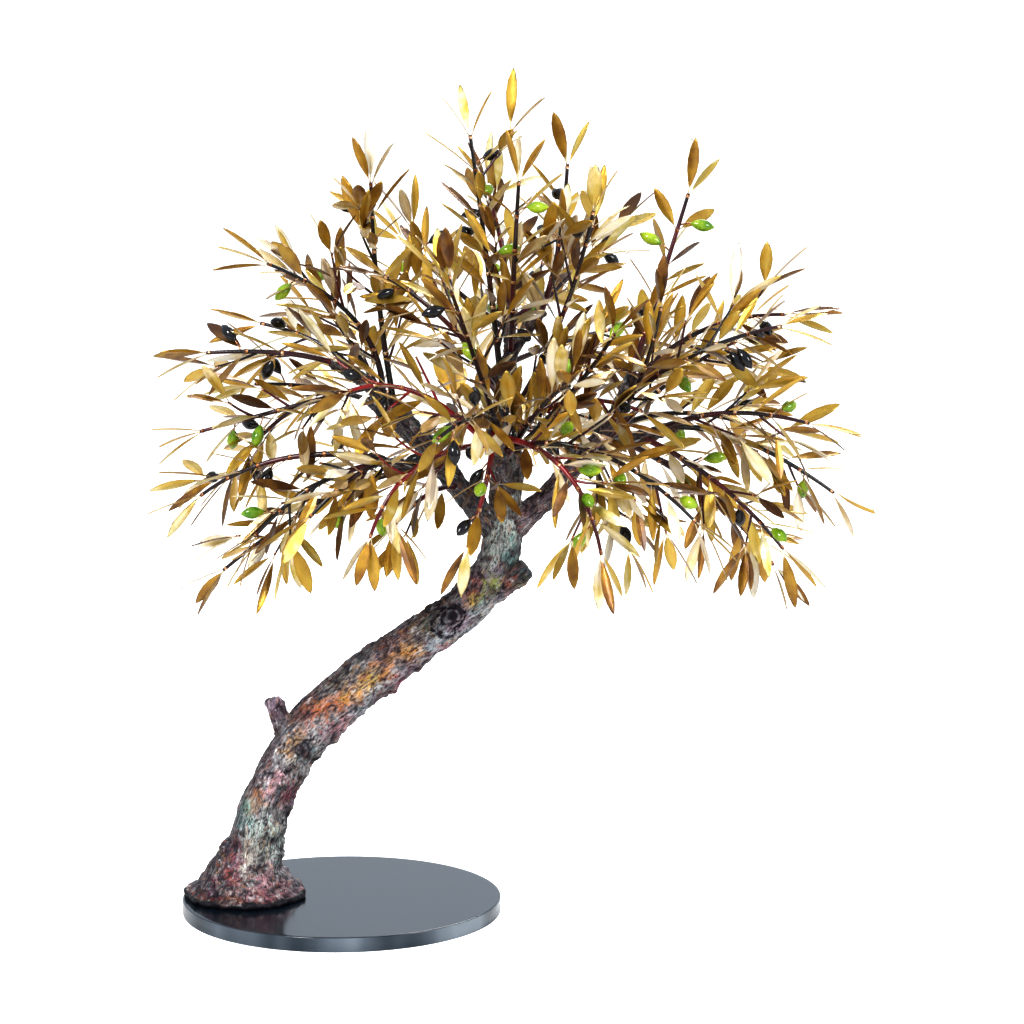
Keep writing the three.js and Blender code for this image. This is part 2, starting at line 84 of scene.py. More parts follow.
def turned(profile, sides, centre=(0, 0)):
    """A closed lathe shape. The profile runs from pole to pole as radius and height."""
    mesh = bmesh.new()
    rings = []
    for radius, height in profile:
        around = 1 if radius == 0 else sides
        ring = []
        for i in range(around):
            turn = 2 * math.pi * i / sides
            spot = (centre[0] + radius * math.cos(turn), centre[1] + radius * math.sin(turn), height)
            ring.append(mesh.verts.new(Vector(spot) * MM))
        rings.append(ring)
    for low, high in zip(rings, rings[1:]):
        for i in range(sides):
            j = (i + 1) % sides
            corners = [low[i % len(low)], low[j % len(low)], high[j % len(high)], high[i % len(high)]]
            mesh.faces.new(list(dict.fromkeys(corners)))
    bmesh.ops.recalc_face_normals(mesh, faces=mesh.faces)
    made = bpy.data.meshes.new("turned")
    mesh.to_mesh(made)
    mesh.free()
    return made


def rounded(radius, height, towards, steps=4):
    """Points over a rounded edge between the disc's face and its side."""
    turns = [math.pi / 2 * i / steps for i in range(steps + 1)]
    return [
        (radius - PLATE_EDGE * (1 - math.sin(t)), height - towards * PLATE_EDGE * (1 - math.cos(t)))
        for t in turns
    ]


class Nodes:
    """Short calls that add nodes to a material or a node tree and join their sockets."""

    def __init__(self, tree):
        self.tree = tree

    def add(self, kind, inputs=None, **settings):
        node = self.tree.nodes.new(kind)
        for key, value in settings.items():
            setattr(node, key, value)
        for key, value in (inputs or {}).items():
            socket = node.inputs[key]
            if isinstance(value, bpy.types.NodeSocket):
                self.tree.links.new(value, socket)
            else:
                socket.default_value = value
        return node

    def place(self):
        return self.add("ShaderNodeTexCoord").outputs["Object"]

    def stretched(self, vector, scale):
        return self.add("ShaderNodeMapping", {"Vector": vector, "Scale": scale}).outputs[0]

    def noise(self, vector, scale, detail=2, output="Fac", **more):
        """A noise texture. more may give its Roughness and its Distortion."""
        sockets = {"Vector": vector, "Scale": scale, "Detail": detail, **more}
        return self.add("ShaderNodeTexNoise", sockets).outputs[output]

    def math(self, operation, first, second=0.0):
        return self.add("ShaderNodeMath", {0: first, 1: second}, operation=operation).outputs[0]

    def vectors(self, operation, first, second):
        return self.add("ShaderNodeVectorMath", {0: first, 1: second}, operation=operation).outputs[0]

    def attribute(self, label, output="Fac"):
        return self.add("ShaderNodeAttribute", attribute_name=label).outputs[output]

    def parts(self, vector):
        return self.add("ShaderNodeSeparateXYZ", {0: vector}).outputs

    def bump(self, height, strength, distance):
        sockets = {"Height": height, "Strength": strength, "Distance": distance}
        return self.add("ShaderNodeBump", sockets).outputs["Normal"]

    def ramp(self, factor, *stops):
        node = self.add("ShaderNodeValToRGB", {"Fac": factor})
        ramp = node.color_ramp
        while len(ramp.elements) < len(stops):
            ramp.elements.new(1)
        for element, (place, colour) in zip(ramp.elements, stops):
            element.position = place
            element.color = (*colour, 1)
        return node.outputs["Color"]

    def span(self, value, low, high, to_low=0.0, to_high=1.0):
        return self.add("ShaderNodeMapRange", {
            "Value": value, "From Min": low, "From Max": high, "To Min": to_low, "To Max": to_high,
        }).outputs["Result"]

    def blend(self, factor, first, second):
        node = self.add("ShaderNodeMix", data_type="RGBA")
        for socket, value in zip((node.inputs[0], node.inputs[6], node.inputs[7]), (factor, first, second)):
            if isinstance(value, bpy.types.NodeSocket):
                self.tree.links.new(value, socket)
            else:
                socket.default_value = value if socket.type == "VALUE" else (*value, 1)
        return node.outputs[2]


def finish_named(name, **fixed):
    """A new material, its nodes and its main shader. fixed gives what is the same all over."""
    material = bpy.data.materials.new(name)
    material.use_nodes = True
    nodes = Nodes(material.node_tree)
    shader = material.node_tree.nodes["Principled BSDF"]
    for label, value in fixed.items():
        shader.inputs[label.replace("_", " ")].default_value = value
    return material, nodes, shader


def dress(nodes, shader, **sockets):
    """Joins what varies over a material to its main shader."""
    for label, value in sockets.items():
        nodes.tree.links.new(value, shader.inputs[label.replace("_", " ")])


slate, nodes, shader = finish_named("slate_lacquer", IOR=1.5, Metallic=0.0)
place = nodes.place()
slate_top = nodes.ramp(nodes.noise(place, 9, 4), (0.3, (0.003, 0.007, 0.014)), (0.7, (0.006, 0.012, 0.021)))
# Painted reflection: the side and underside are coloured lighter than the top, in upright streaks,
# standing in for the bright surround that the glossy lacquer mirrors there
painted_reflection_streaks = nodes.noise(nodes.stretched(place, (1.0, 1.0, 0.3)), 11)
painted_side_reflection = nodes.ramp(
    painted_reflection_streaks, (0.38, (0.012, 0.026, 0.042)), (0.5, (0.075, 0.097, 0.125)), (0.62, (0.20, 0.24, 0.28)))
normal = nodes.add("ShaderNodeNewGeometry").outputs["Normal"]
facing = nodes.parts(normal)[2]
dust, peel = nodes.noise(place, 900), nodes.noise(place, 260)
dress(nodes, shader, Base_Color=nodes.blend(nodes.span(facing, 0.3, 0.7), painted_side_reflection, slate_top),
      Roughness=nodes.span(dust, 0.3, 0.7, 0.10, 0.2), Normal=nodes.bump(peel, 0.05, 0.0006))

plate_profile = [
    (0, 0),
    (PLATE_RADIUS - 4, 0),
    *rounded(PLATE_RADIUS, 0, -1),
    *reversed(rounded(PLATE_RADIUS, PLATE_THICKNESS, 1)),
    (PLATE_RADIUS - 4, PLATE_THICKNESS),
    (0, PLATE_THICKNESS),
]
base_plate = finished("plate", turned(plate_profile, PLATE_SIDES), slate)
bores = bmesh.new()
wide, narrow = SCREW_HEAD + 1.9, SCREW_SHANK + 0.6
for i in range(SCREW_COUNT):
    turn = 2 * math.pi * i / SCREW_COUNT
    spot = (FOOT_CENTRE[0] + SCREW_CIRCLE * math.cos(turn), FOOT_CENTRE[1] + SCREW_CIRCLE * math.sin(turn))
    bore = turned([(0, -1), (wide, -1), (narrow, SCREW_HEAD_TOP), (narrow, 16), (0, 16)], BORE_SIDES, spot)
    bores.from_mesh(bore)
    bpy.data.meshes.remove(bore)
bore_mesh = bpy.data.meshes.new("bores")
bores.to_mesh(bore_mesh)
bores.free()
drill = finished("drill", bore_mesh, slate)
cut = base_plate.modifiers.new("drilled", "BOOLEAN")
cut.object = drill
baked(base_plate)
bpy.data.objects.remove(drill)
base_plate.data.shade_smooth()
base_plate.data.set_sharp_from_angle(angle=CREASE_ANGLE)
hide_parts("base_plate")
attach(base_plate, "root")


# THE FOOT SCREWS
# Three countersunk steel screws with hexagon sockets, turned and rolled, driven up through the plate
# into the casting. Only their heads are seen, from below.

steel, nodes, shader = finish_named("brushed_steel", Metallic=1.0)
grain = nodes.noise(nodes.place(), 1400, 3)
dress(nodes, shader, Base_Color=nodes.ramp(grain, (0.3, (0.34, 0.34, 0.35)), (0.7, (0.56, 0.56, 0.58))),
      Roughness=nodes.span(grain, 0.2, 0.8, 0.25, 0.45))

pattern = finished("screw_pattern", turned(
    [(0, 2.4), (2.2, 2.6), (2.5, 0.6), (7.6, 0.6), (SCREW_HEAD, 0.9), (SCREW_SHANK, SCREW_HEAD_TOP),
     (SCREW_SHANK, SCREW_TOP - 0.8), (SCREW_SHANK - 0.8, SCREW_TOP), (0, SCREW_TOP)], SCREW_SIDES), steel)


def tree_with(name, **inputs):
    """A Geometry Nodes tree, its nodes, and the sockets of its named inputs."""
    tree = bpy.data.node_groups.new(name, "GeometryNodeTree")
    tree.interface.new_socket("Geometry", in_out="OUTPUT", socket_type="NodeSocketGeometry")
    for label, kind in inputs.items():
        tree.interface.new_socket(label.replace("_", " "), in_out="INPUT", socket_type="NodeSocket" + kind)
    nodes = Nodes(tree)
    return tree, nodes, nodes.add("NodeGroupInput").outputs


def realized(nodes, geometry, material):
    """The geometry with its instances made real and its material set."""
    real = nodes.add("GeometryNodeRealizeInstances", {"Geometry": geometry}).outputs["Geometry"]
    return nodes.add("GeometryNodeSetMaterial", {"Geometry": real, "Material": material}).outputs["Geometry"]


def worked_by(piece, tree, **values):
    """The piece as a tree leaves it. Each input is set by its socket's identifier."""
    modifier = piece.modifiers.new("worked", "NODES")
    modifier.node_group = tree
    labels = {label.replace("_", " "): value for label, value in values.items()}
    for item in tree.interface.items_tree:
        if item.in_out == "INPUT" and item.name in labels:
            modifier[item.identifier] = labels.pop(item.name)
    assert not labels, labels
    return baked(piece)


screw_tree, nodes, given = tree_with(
    "Ring of screws", Screw="Object", Count="Int", Circle_radius="Float", Centre="Vector")
ring = nodes.add("GeometryNodeMeshCircle", {"Vertices": given["Count"], "Radius": given["Circle radius"]})
moved = nodes.add("GeometryNodeSetPosition", {"Geometry": ring.outputs["Mesh"], "Offset": given["Centre"]})
screw = nodes.add("GeometryNodeObjectInfo", {"Object": given["Screw"]}).outputs["Geometry"]
copies = nodes.add("GeometryNodeInstanceOnPoints", {"Points": moved.outputs["Geometry"], "Instance": screw})
nodes.add("NodeGroupOutput", {"Geometry": realized(nodes, copies.outputs["Instances"], steel)})

foot_screws = finished("foot_screws", bpy.data.meshes.new("foot_screws"))
worked_by(foot_screws, screw_tree, Screw=pattern, Count=SCREW_COUNT, Circle_radius=SCREW_CIRCLE * MM,
          Centre=(FOOT_CENTRE[0] * MM, FOOT_CENTRE[1] * MM, 0.0))
bpy.data.objects.remove(pattern)
foot_screws.data.shade_smooth()
foot_screws.data.set_sharp_from_angle(angle=CREASE_ANGLE)
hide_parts("foot_screw_1", "foot_screw_2", "foot_screw_3")
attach(foot_screws, "root")


# THE TRUNK
# One hollow-cast metal trunk with its flared foot, two branches sawn off short, a knotted eye and
# thirteen limbs. The bark was modelled by hand in wax, and the casting is coloured with patinas
# that were daubed on hot: silver greys, copper, maroon, rose and verdigris over a dark ground.

# The spine from the foot to the fork: x, y, z and radius
TRUNK_SPINE = [
    (-89, 0, 9, 30), (-89, 0, 38, 29), (-86, 0, 68, 28), (-76, 0, 109, 24.5),
    (-56, 0, 151, 23.5), (-26, 0, 190, 25), (25, 0, 236, 25), (78, 0, 277, 22.5), (124, 0, 311, 21.5),
    (154, 0, 350, 20), (164, 0, 390, 17), (166, 0, 408, 9),
]
TRUNK_STEPS_PER_SPAN = 3
SPINE_POINTS_PER_SPAN = 12
# Points at either end of the spine that lie in the foot or in the fork
SPINE_END = 20
STUB_POINTS = 25
LIMB_POINTS = 33
# Waves of the bark: height as a share of the radius, number round the section, turn at each step up
BARK_WAVES = [(0.045, 3, 0.35), (0.035, 5, -0.6), (0.025, 2, 1.9)]
# Each limb's root, bend and tip, and its radii there
LIMBS = {
    "left": ((160, 0, 382), (118, 4, 430), (60, 12, 506), (14, 8)),
    "centre": ((164, 0, 385), (180, -4, 460), (158, 0, 552), (14, 7)),
    "right": ((162, 0, 385), (206, 0, 414), (246, 0, 470), (14, 8)),
    "back": ((162, 0, 385), (156, 60, 430), (166, 112, 505), (13, 7)),
    "front": ((168, -2, 430), (160, -62, 465), (152, -108, 512), (10, 6.5)),
    "leftHigh": ((64, 12, 500), (28, -4, 540), (-6, -14, 558), (8, 6)),
    "leftBack": ((92, 8, 464), (62, 60, 480), (28, 100, 506), (8, 6)),
    "leftFront": ((104, 6, 450), (72, -46, 452), (34, -82, 474), (8, 6)),
    "topRight": ((160, 0, 540), (176, 6, 580), (202, 10, 606), (7.5, 6)),
    "rightHigh": ((244, 0, 466), (276, -14, 500), (290, -20, 548), (8, 6)),
    "rightOut": ((240, 0, 460), (288, -8, 480), (334, 0, 492), (8, 6)),
    "rightBack": ((226, 0, 446), (254, 62, 452), (292, 112, 484), (8, 6)),
    "backHigh": ((164, 106, 498), (172, 140, 550), (168, 140, 600), (7.5, 6)),
}
LIMB_STEPS = 4
CUT_STUBS = [((-50, 0, 164), (-67, 0, 218), 10), ((148, -3, 322), (187, -9, 351), 11.5)]
KNOB = ((-114, -6, 65), 9)
TRUNK_UNDERSIDE = 15.3
# The flared foot round the trunk's lower end, and the molten beads along its lip
FOOT_PROFILE = [(0, 8), (56, 8), (58, 14), (58.5, 20), (56, 24), (50, 28), (43, 37), (37, 46), (32, 53),
                (27, 61), (20, 68), (0, 70)]
FOOT_SIDES = 96
LIP_RADIUS = 58.5
LIP_BEADS = 46
LIP_TOP = 26
# Small knobs along the lower side of the trunk: x of the spine there, how far they stand out, radius
SIDE_KNOBS = [(-72, 0, 5.5), (-40, 0, 6), (-24, 0, 6.5), (40, 0, 6), (66, 1, 5.5), (98, -1, 6)]
VOXEL = 1.65
TUBE_SIDES = 40

ALONG_X = np.array([1.0, 0, 0])
ALONG_Y = np.array([0, 1.0, 0])
ALONG_Z = np.array([0, 0, 1.0])


def unit(vector):
    return vector / math.sqrt(vector @ vector)


def across_axis(axis, wished, spare):
    base = spare if abs(axis @ wished) > 0.95 else wished
    return unit(base - axis * (axis @ base))


def smooth_line(rows, count):
    """Points on a smooth line through the rows, count for each span."""
    rows = np.array(rows, float)
    padded = np.vstack([2 * rows[0] - rows[1], rows, 2 * rows[-1] - rows[-2]])
    line = []
    for step in range((len(rows) - 1) * count + 1):
        span = min(step // count, len(rows) - 2)
        share = step / count - span
        before, start, end, after = padded[span:span + 4]
        first, last = (end - before) / 2, (after - start) / 2
        line.append(start + first * share + (3 * (end - start) - 2 * first - last) * share ** 2
                    + (2 * (start - end) + first + last) * share ** 3)
    return np.array(line)


def bent_line(root, bend, tip, shares):
    """Points on a curve from root to tip that is pulled towards bend."""
    t = np.asarray(shares, float)[..., None]
    root, bend, tip = (np.array(spot, float) for spot in (root, bend, tip))
    return (1 - t) ** 2 * root + 2 * (1 - t) * t * bend + t ** 2 * tip


def cross_frames(line):
    """The axis and the two cross directions at each point, turned as little as can be."""
    frames = []
    side = ALONG_Y
    for i in range(len(line)):
        axis = unit(line[min(i + 1, len(line) - 1)] - line[max(i - 1, 0)])
        side = across_axis(axis, side, ALONG_X)
        frames.append((axis, side, np.cross(side, axis)))
    return np.array(frames)


def tube(line, radii, steps):
    """A closed bark-covered tube. steps tells how many of the bark's steps the line has."""
    frames = cross_frames(line)
    turns = np.linspace(0, 2 * math.pi, TUBE_SIDES, endpoint=False)
    step = np.linspace(0, steps, len(line))[:, None]
    relief = 1 + sum(h * np.sin(n * turns + climb * step) for h, n, climb in BARK_WAVES)
    spread = np.asarray(radii)[:, None] * relief
    rings = (line[:, None] + frames[:, None, 1] * (np.cos(turns) * spread)[..., None]
             + frames[:, None, 2] * (np.sin(turns) * spread)[..., None])
    spots = np.vstack([rings.reshape(-1, 3), line[:1], line[-1:]])
    faces = []
    last = len(line) - 1
    for i in range(TUBE_SIDES):
        j = (i + 1) % TUBE_SIDES
        for k in range(last):
            low, high = k * TUBE_SIDES, (k + 1) * TUBE_SIDES
            faces.append((low + i, high + i, high + j, low + j))
        faces.append((len(spots) - 2, i, j))
        faces.append((len(spots) - 1, last * TUBE_SIDES + j, last * TUBE_SIDES + i))
    return spots, faces


def rise_at(row):
    """Which way the spine runs at one of its points."""
    return unit(trunk_rows[row + 1, :3] - trunk_rows[row - 1, :3])


# Each length of the casting: its line, its radii, and how many steps of the bark's waves it has
trunk_rows = smooth_line(TRUNK_SPINE, SPINE_POINTS_PER_SPAN)
castings = [(trunk_rows[:, :3], trunk_rows[:, 3], (len(TRUNK_SPINE) - 1) * TRUNK_STEPS_PER_SPAN)]
for root, end, radius in CUT_STUBS:
    line = bent_line(root, np.add(root, end) / 2, end, np.linspace(0, 1, STUB_POINTS))
    castings.append((line, radius * np.linspace(1.0, 0.86, STUB_POINTS), 2))
for root, bend, tip, radii in LIMBS.values():
    shares = np.linspace(0, 1, LIMB_POINTS)
    castings.append((bent_line(root, bend, tip, shares), np.interp(shares, (0, 1), radii), LIMB_STEPS))

spots, faces = [], []
for line, radii, steps in castings:
    more_spots, more_faces = tube(line, radii, steps)
    shift = sum(len(s) for s in spots)
    spots.append(more_spots)
    faces += [tuple(corner + shift for corner in face) for face in more_faces]
trunk_mesh = bpy.data.meshes.new("trunk")
trunk_mesh.from_pydata((np.vstack(spots) * MM).tolist(), [], faces)
shaping = bmesh.new()
shaping.from_mesh(trunk_mesh)
balls = [KNOB]
for x, stand, radius in SIDE_KNOBS:
    row = np.abs(trunk_rows[SPINE_END:, 0] - x).argmin() + SPINE_END
    rise = rise_at(row)
    below = np.array([rise[2], -0.3, -rise[0]])
    balls.append((trunk_rows[row, :3] + below * (trunk_rows[row, 3] + stand - radius * 0.6), radius))
bead_draws = np.random.default_rng(3)
for i in range(LIP_BEADS):
    turn = 2 * math.pi * i / LIP_BEADS
    reach = LIP_RADIUS + bead_draws.uniform(-2.2, 0.6)
    centre = FOOT_CENTRE[0] + reach * math.cos(turn), reach * math.sin(turn), bead_draws.uniform(17, 20)
    balls.append((centre, bead_draws.uniform(3.2, 4.8)))
for centre, radius in balls:
    ball = bmesh.ops.create_icosphere(shaping, subdivisions=3, radius=radius * MM)["verts"]
    bmesh.ops.translate(shaping, verts=ball, vec=Vector(centre) * MM)
lip = turned(FOOT_PROFILE, FOOT_SIDES, FOOT_CENTRE)
shaping.from_mesh(lip)
bpy.data.meshes.remove(lip)
shaping.to_mesh(trunk_mesh)
shaping.free()
trunk = finished("cast_trunk", trunk_mesh)
fused = trunk.modifiers.new("fused", "REMESH")
fused.mode = "VOXEL"
fused.voxel_size = VOXEL * MM
softened = trunk.modifiers.new("softened", "CORRECTIVE_SMOOTH")
softened.iterations = 6
softened.use_only_smooth = True
baked(trunk)
trimming = bmesh.new()
trimming.from_mesh(trunk.data)
bmesh.ops.bisect_plane(
    trimming, geom=trimming.verts[:] + trimming.edges[:] + trimming.faces[:], clear_inner=True,
    plane_co=(0, 0, TRUNK_UNDERSIDE * MM), plane_no=(0, 0, 1))
rim = [edge for edge in trimming.edges if edge.is_boundary]
bmesh.ops.triangulate(trimming, faces=bmesh.ops.holes_fill(trimming, edges=rim)["faces"])
bmesh.ops.recalc_face_normals(trimming, faces=trimming.faces)
trimming.to_mesh(trunk.data)
trimming.free()

# Where each point of the casting is: on which length, how far along it, and on which side of it. The
# shift keeps the noise of one length off the next one's.
LENGTH_SHIFT = 900
WIDEST_TURN = 30
skin = np.empty(len(trunk.data.vertices) * 3, np.float32)
trunk.data.vertices.foreach_get("co", skin)
skin = skin.reshape(-1, 3) / MM
nearest = np.full(len(skin), 1e9)
straight = np.zeros((len(skin), 3))
upward = np.zeros(len(skin))
length_of = np.zeros(len(skin), int)
travel = 0.0
for number, (line, radii, _) in enumerate(castings):
    frames = cross_frames(line)
    paces = np.concatenate([[0], np.cumsum(np.linalg.norm(np.diff(line, axis=0), axis=1))])
    for i, spot in enumerate(line):
        away = skin - spot
        gap = np.linalg.norm(away, axis=1) - radii[i]
        closer = gap < nearest
        nearest[closer] = gap[closer]
        sideways, outwards = away[closer] @ frames[i, 1], away[closer] @ frames[i, 2]
        turn = np.arctan2(outwards, sideways)
        reach = min(radii[i], WIDEST_TURN)
        straight[closer] = np.stack([
            reach * np.cos(turn), reach * np.sin(turn), np.full(len(turn), travel + paces[i])], 1)
        straight[closer, 2] += away[closer] @ frames[i, 0] - np.maximum(gap[closer], 0)
        upward[closer] = -np.sin(turn)
        length_of[closer] = number
    travel += LENGTH_SHIFT



def noise_over(places, scale, octaves):
    return np.array([noise.fractal(Vector(place) * scale, 1.0, 2.1, octaves) for place in places.tolist()])


rough_noise = noise_over(straight, 0.09, 4)
fine_noise = noise_over(straight, 0.33, 3)
# Loops and pits cut into the wax on the front: x and z of the middle, half the length along the trunk,
# half the width, how deep, and whether it is a pit or the line round it
CARVINGS = [
    (108, 300, 18, 13, 2.7, "line"), (111, 304, 9.5, 8, 2.0, "line"), (112, 305, 4.5, 4, 3.5, "pit"),
    (-50, 160, 15, 7, 1.5, "line"), (-37, 170, 7, 6, 1.2, "line"), (-35, 168, 3, 3, 1.6, "pit"),
    (44, 241, 6, 4, 1.5, "pit"),
]


def along_and_across(spots, x, z):
    """How far spots lie from a place on the front, along the trunk and across it."""
    open_rows = trunk_rows[SPINE_END:-SPINE_END]
    rise = rise_at(np.hypot(open_rows[:, 0] - x, open_rows[:, 2] - z).argmin() + SPINE_END)
    away_x, away_z = spots[:, 0] - x, spots[:, 2] - z
    return away_x * rise[0] + away_z * rise[2], away_x * rise[2] - away_z * rise[0]


carved = np.zeros(len(skin))
on_front = (skin[:, 1] < 0) & (length_of == 0)
for x, z, half_length, half_width, depth, kind in CARVINGS:
    along, across = along_and_across(skin, x, z)
    gap = np.hypot(along / half_length, across / half_width)
    strength = np.clip(0.9 + fine_noise * 1.2, 0.5, 1.3)
    if kind == "line":
        gap = np.abs(gap - 1 + rough_noise * 0.45) * (half_length + half_width) / 2 / 1.6
    carved = np.maximum(carved, depth * np.exp(-gap ** 2) * on_front * strength)

# Patinas, as the founder would name them
SILVER = (0.50, 0.52, 0.53)
PALE_BLUE = (0.40, 0.47, 0.52)
MINT = (0.52, 0.62, 0.57)
BONE = (0.66, 0.60, 0.50)
ROSE = (0.46, 0.16, 0.20)
PINK = (0.72, 0.42, 0.46)
MAUVE = (0.36, 0.27, 0.34)
CRIMSON = (0.28, 0.03, 0.07)
MAROON = (0.09, 0.02, 0.025)
PURPLE = (0.10, 0.05, 0.09)
COPPER = (0.52, 0.16, 0.035)
RUST = (0.38, 0.08, 0.02)
OCHRE = (0.54, 0.29, 0.06)
GOLD = (0.62, 0.43, 0.06)
OLIVE = (0.10, 0.11, 0.04)
VERDIGRIS = (0.08, 0.28, 0.26)
TEAL = (0.03, 0.12, 0.15)
LIME = (0.32, 0.40, 0.05)
SOOT = (0.025, 0.022, 0.025)

# Daubs on the trunk, in the order they went on: x and z of the middle, how far it spreads, its colour
DAUBS = [
    (-90, 90, 46, SILVER), (-60, 150, 40, SILVER), (0, 205, 60, SILVER), (60, 250, 60, SILVER),
    (110, 292, 40, PALE_BLUE), (92, 270, 26, PALE_BLUE), (-82, 86, 20, MINT), (-70, 66, 24, MINT),
    (-96, 60, 17, BONE), (-47, 163, 10, BONE), (20, 212, 22, PALE_BLUE), (70, 252, 18, MAUVE),
    (150, 345, 30, MAUVE), (160, 380, 26, MINT),
    (-84, 126, 13, RUST), (-85, 115, 11, OCHRE), (-98, 103, 15, VERDIGRIS), (-68, 130, 10, PINK),
    (-60, 142, 8, PINK), (-53, 124, 10, CRIMSON), (-45, 118, 9, PURPLE), (-75, 155, 14, MAROON),
    (-86, 138, 9, SOOT), (-44, 179, 11, OCHRE), (-35, 171, 9, TEAL), (-32, 208, 16, RUST),
    (-12, 214, 16, COPPER), (2, 221, 18, COPPER), (20, 236, 16, OCHRE), (34, 246, 14, GOLD),
    (-6, 236, 14, OLIVE), (-6, 190, 10, ROSE), (8, 200, 8, PINK), (-112, 62, 17, PURPLE),
    (-107, 62, 10, CRIMSON), (-122, 46, 20, SOOT), (-105, 40, 9, CRIMSON), (-74, 40, 10, PINK),
    (-54, 42, 14, SILVER), (-60, 22, 14, ROSE), (-84, 20, 16, ROSE), (-108, 18, 14, COPPER),
    (-130, 24, 14, CRIMSON), (-90, 24, 10, PINK),
    (50, 262, 20, COPPER), (66, 272, 20, OCHRE), (70, 292, 16, MAROON), (86, 303, 18, OLIVE),
    (48, 278, 14, MAROON), (76, 244, 13, PURPLE), (60, 234, 12, CRIMSON), (40, 222, 12, PURPLE),
    (90, 254, 10, SOOT), (104, 268, 10, ROSE), (100, 322, 14, SOOT), (121, 338, 13, MAROON),
    (134, 330, 12, RUST), (136, 320, 9, GOLD), (150, 334, 12, LIME), (141, 314, 9, VERDIGRIS),
    (170, 360, 14, VERDIGRIS), (172, 343, 10, RUST), (186, 348, 13, TEAL), (182, 340, 8, OLIVE),
    (146, 306, 14, SILVER), (118, 300, 12, MAUVE), (-62, 208, 16, PURPLE), (-66, 214, 9, MAUVE),
]


def daubed(spots, wobble):
    """Colours of the casting at some places, with ragged edges to the daubs."""
    colours = np.tile(np.array(SOOT) * 2.2, (len(spots), 1))
    for x, z, spread, colour in DAUBS:
        along, across = along_and_across(spots, x, z)
        gap = np.hypot(along / 1.35, across / 0.8) / spread
        cover = np.clip(1.3 - gap + wobble * 1.3, 0, 1)[:, None]
        cover = cover * cover * (3 - 2 * cover)
        colours += (np.array(colour) - colours) * cover * 0.8
    return colours


patina = daubed(skin, rough_noise * 0.8 + fine_noise * 0.5)
# The far side has the same patinas, some way further along
FAR_SIDE_SHIFT = (46, 0, 40)
far_side = np.clip((skin[:, 1] - 2) / 8, 0, 1)[:, None]
patina += (daubed(skin + np.array(FAR_SIDE_SHIFT), rough_noise) - patina) * far_side
# The limbs are darker, with mint on the centre one and mauve under the right one
limb_colours = {4: MINT, 3: TEAL, 5: MAUVE, 6: OLIVE}
for number in range(3, len(castings)):
    on_limb = length_of == number
    tint = np.array(limb_colours.get(number, SOOT)) * 0.34 + np.array(SOOT)
    shade = np.clip(0.6 + rough_noise[on_limb] * 0.9, 0.1, 1)[:, None]
    patina[on_limb] = tint * shade + np.array(OCHRE) * np.clip(fine_noise[on_limb], 0, 1)[:, None] * 0.3
# Painted shade: the trunk's upper-left side is darkened, as if it lay in shadow
painted_edge_shade = np.clip((upward - 0.6) / 0.35, 0, 1)[:, None] * (length_of == 0)[:, None]
patina *= 1 - 0.72 * painted_edge_shade
# The foot's lip is darkened to near black along its outer edge and in a band just above the plate,
# with rose and copper just above that
rim_reach = np.hypot(skin[:, 0] - FOOT_CENTRE[0], skin[:, 1])
on_lip = (np.clip((LIP_TOP - skin[:, 2]) / 3, 0, 1) * (rim_reach > 40))[:, None]
lip_tint = np.where((skin[:, :1] < -92) & (skin[:, 1:2] < 0), np.array(COPPER) * (0.75, 0.55, 0.6), ROSE)
patina += (lip_tint * np.clip(0.8 + rough_noise * 0.8, 0.2, 1)[:, None] - patina) * on_lip * 0.8
rim_dark = np.clip((rim_reach - LIP_RADIUS + 0.8 + rough_noise * 3) / 1.6, 0, 1) * (skin[:, 2] < 30)
rim_dark = np.maximum(rim_dark, np.clip((20.8 + fine_noise * 3 - skin[:, 2]) / 2, 0, 1))[:, None]
patina *= 1 - 0.93 * rim_dark
patina *= np.clip(0.68 + (skin[:, 2:] - 30) / 100, 0.68, 1.12)



def note(mesh, label, kind, values):
    """Gives each of a mesh's points a value under a name."""
    field = {"FLOAT_VECTOR": "vector", "FLOAT_COLOR": "color"}.get(kind, "value")
    numbers = np.ascontiguousarray(values, np.int32 if kind == "INT" else np.float32)
    mesh.attributes.new(label, kind, "POINT").data.foreach_set(field, numbers.ravel())


note(trunk.data, "straight", "FLOAT_VECTOR", straight * MM)
note(trunk.data, "underside", "FLOAT", np.clip(-upward, 0, 1))
note(trunk.data, "carved", "FLOAT", carved * MM)
note(trunk.data, "patina", "FLOAT_COLOR", np.hstack([np.clip(patina, 0, 1), 1 - rim_dark]))

bark_tree, bark, given = tree_with(
    "Cast bark", Geometry="Geometry", Lump_height="Float", Furrow_height="Float", Knob_height="Float",
    Grain_height="Float", Seam_depth="Float", Underside="Float", Material="Material")


def noted(nodes, label, kind):
    """The value that a mesh's points hold under a name."""
    return nodes.add("GeometryNodeInputNamedAttribute", {"Name": label}, data_type=kind).outputs[0]


where = noted(bark, "straight", "FLOAT_VECTOR")
lumps, grains = bark.noise(where, 75), bark.noise(where, 420, 3)
# Furrows and seams are drawn out along the casting
furrows = bark.noise(bark.vectors("MULTIPLY", where, (1, 1, 0.28)), 150, 4, Roughness=0.62, Distortion=0.6)
cells = bark.add("ShaderNodeTexVoronoi", {"Vector": where, "Scale": 95.0}, feature="SMOOTH_F1")
knobs = bark.math("SUBTRACT", 0.45, cells.outputs["Distance"])
under = bark.math("ADD", noted(bark, "underside", "FLOAT"), 0.25)
shares = {
    "Lump height": bark.math("SUBTRACT", lumps, 0.5),
    "Furrow height": bark.math("ABSOLUTE", bark.math("SUBTRACT", furrows, 0.5)),
    "Knob height": bark.math("MULTIPLY", knobs, under),
    "Grain height": bark.math("SUBTRACT", grains, 0.5),
}
height = 0.0
for label, share in shares.items():
    height = bark.math("ADD", height, bark.math("MULTIPLY", share, given[label]))
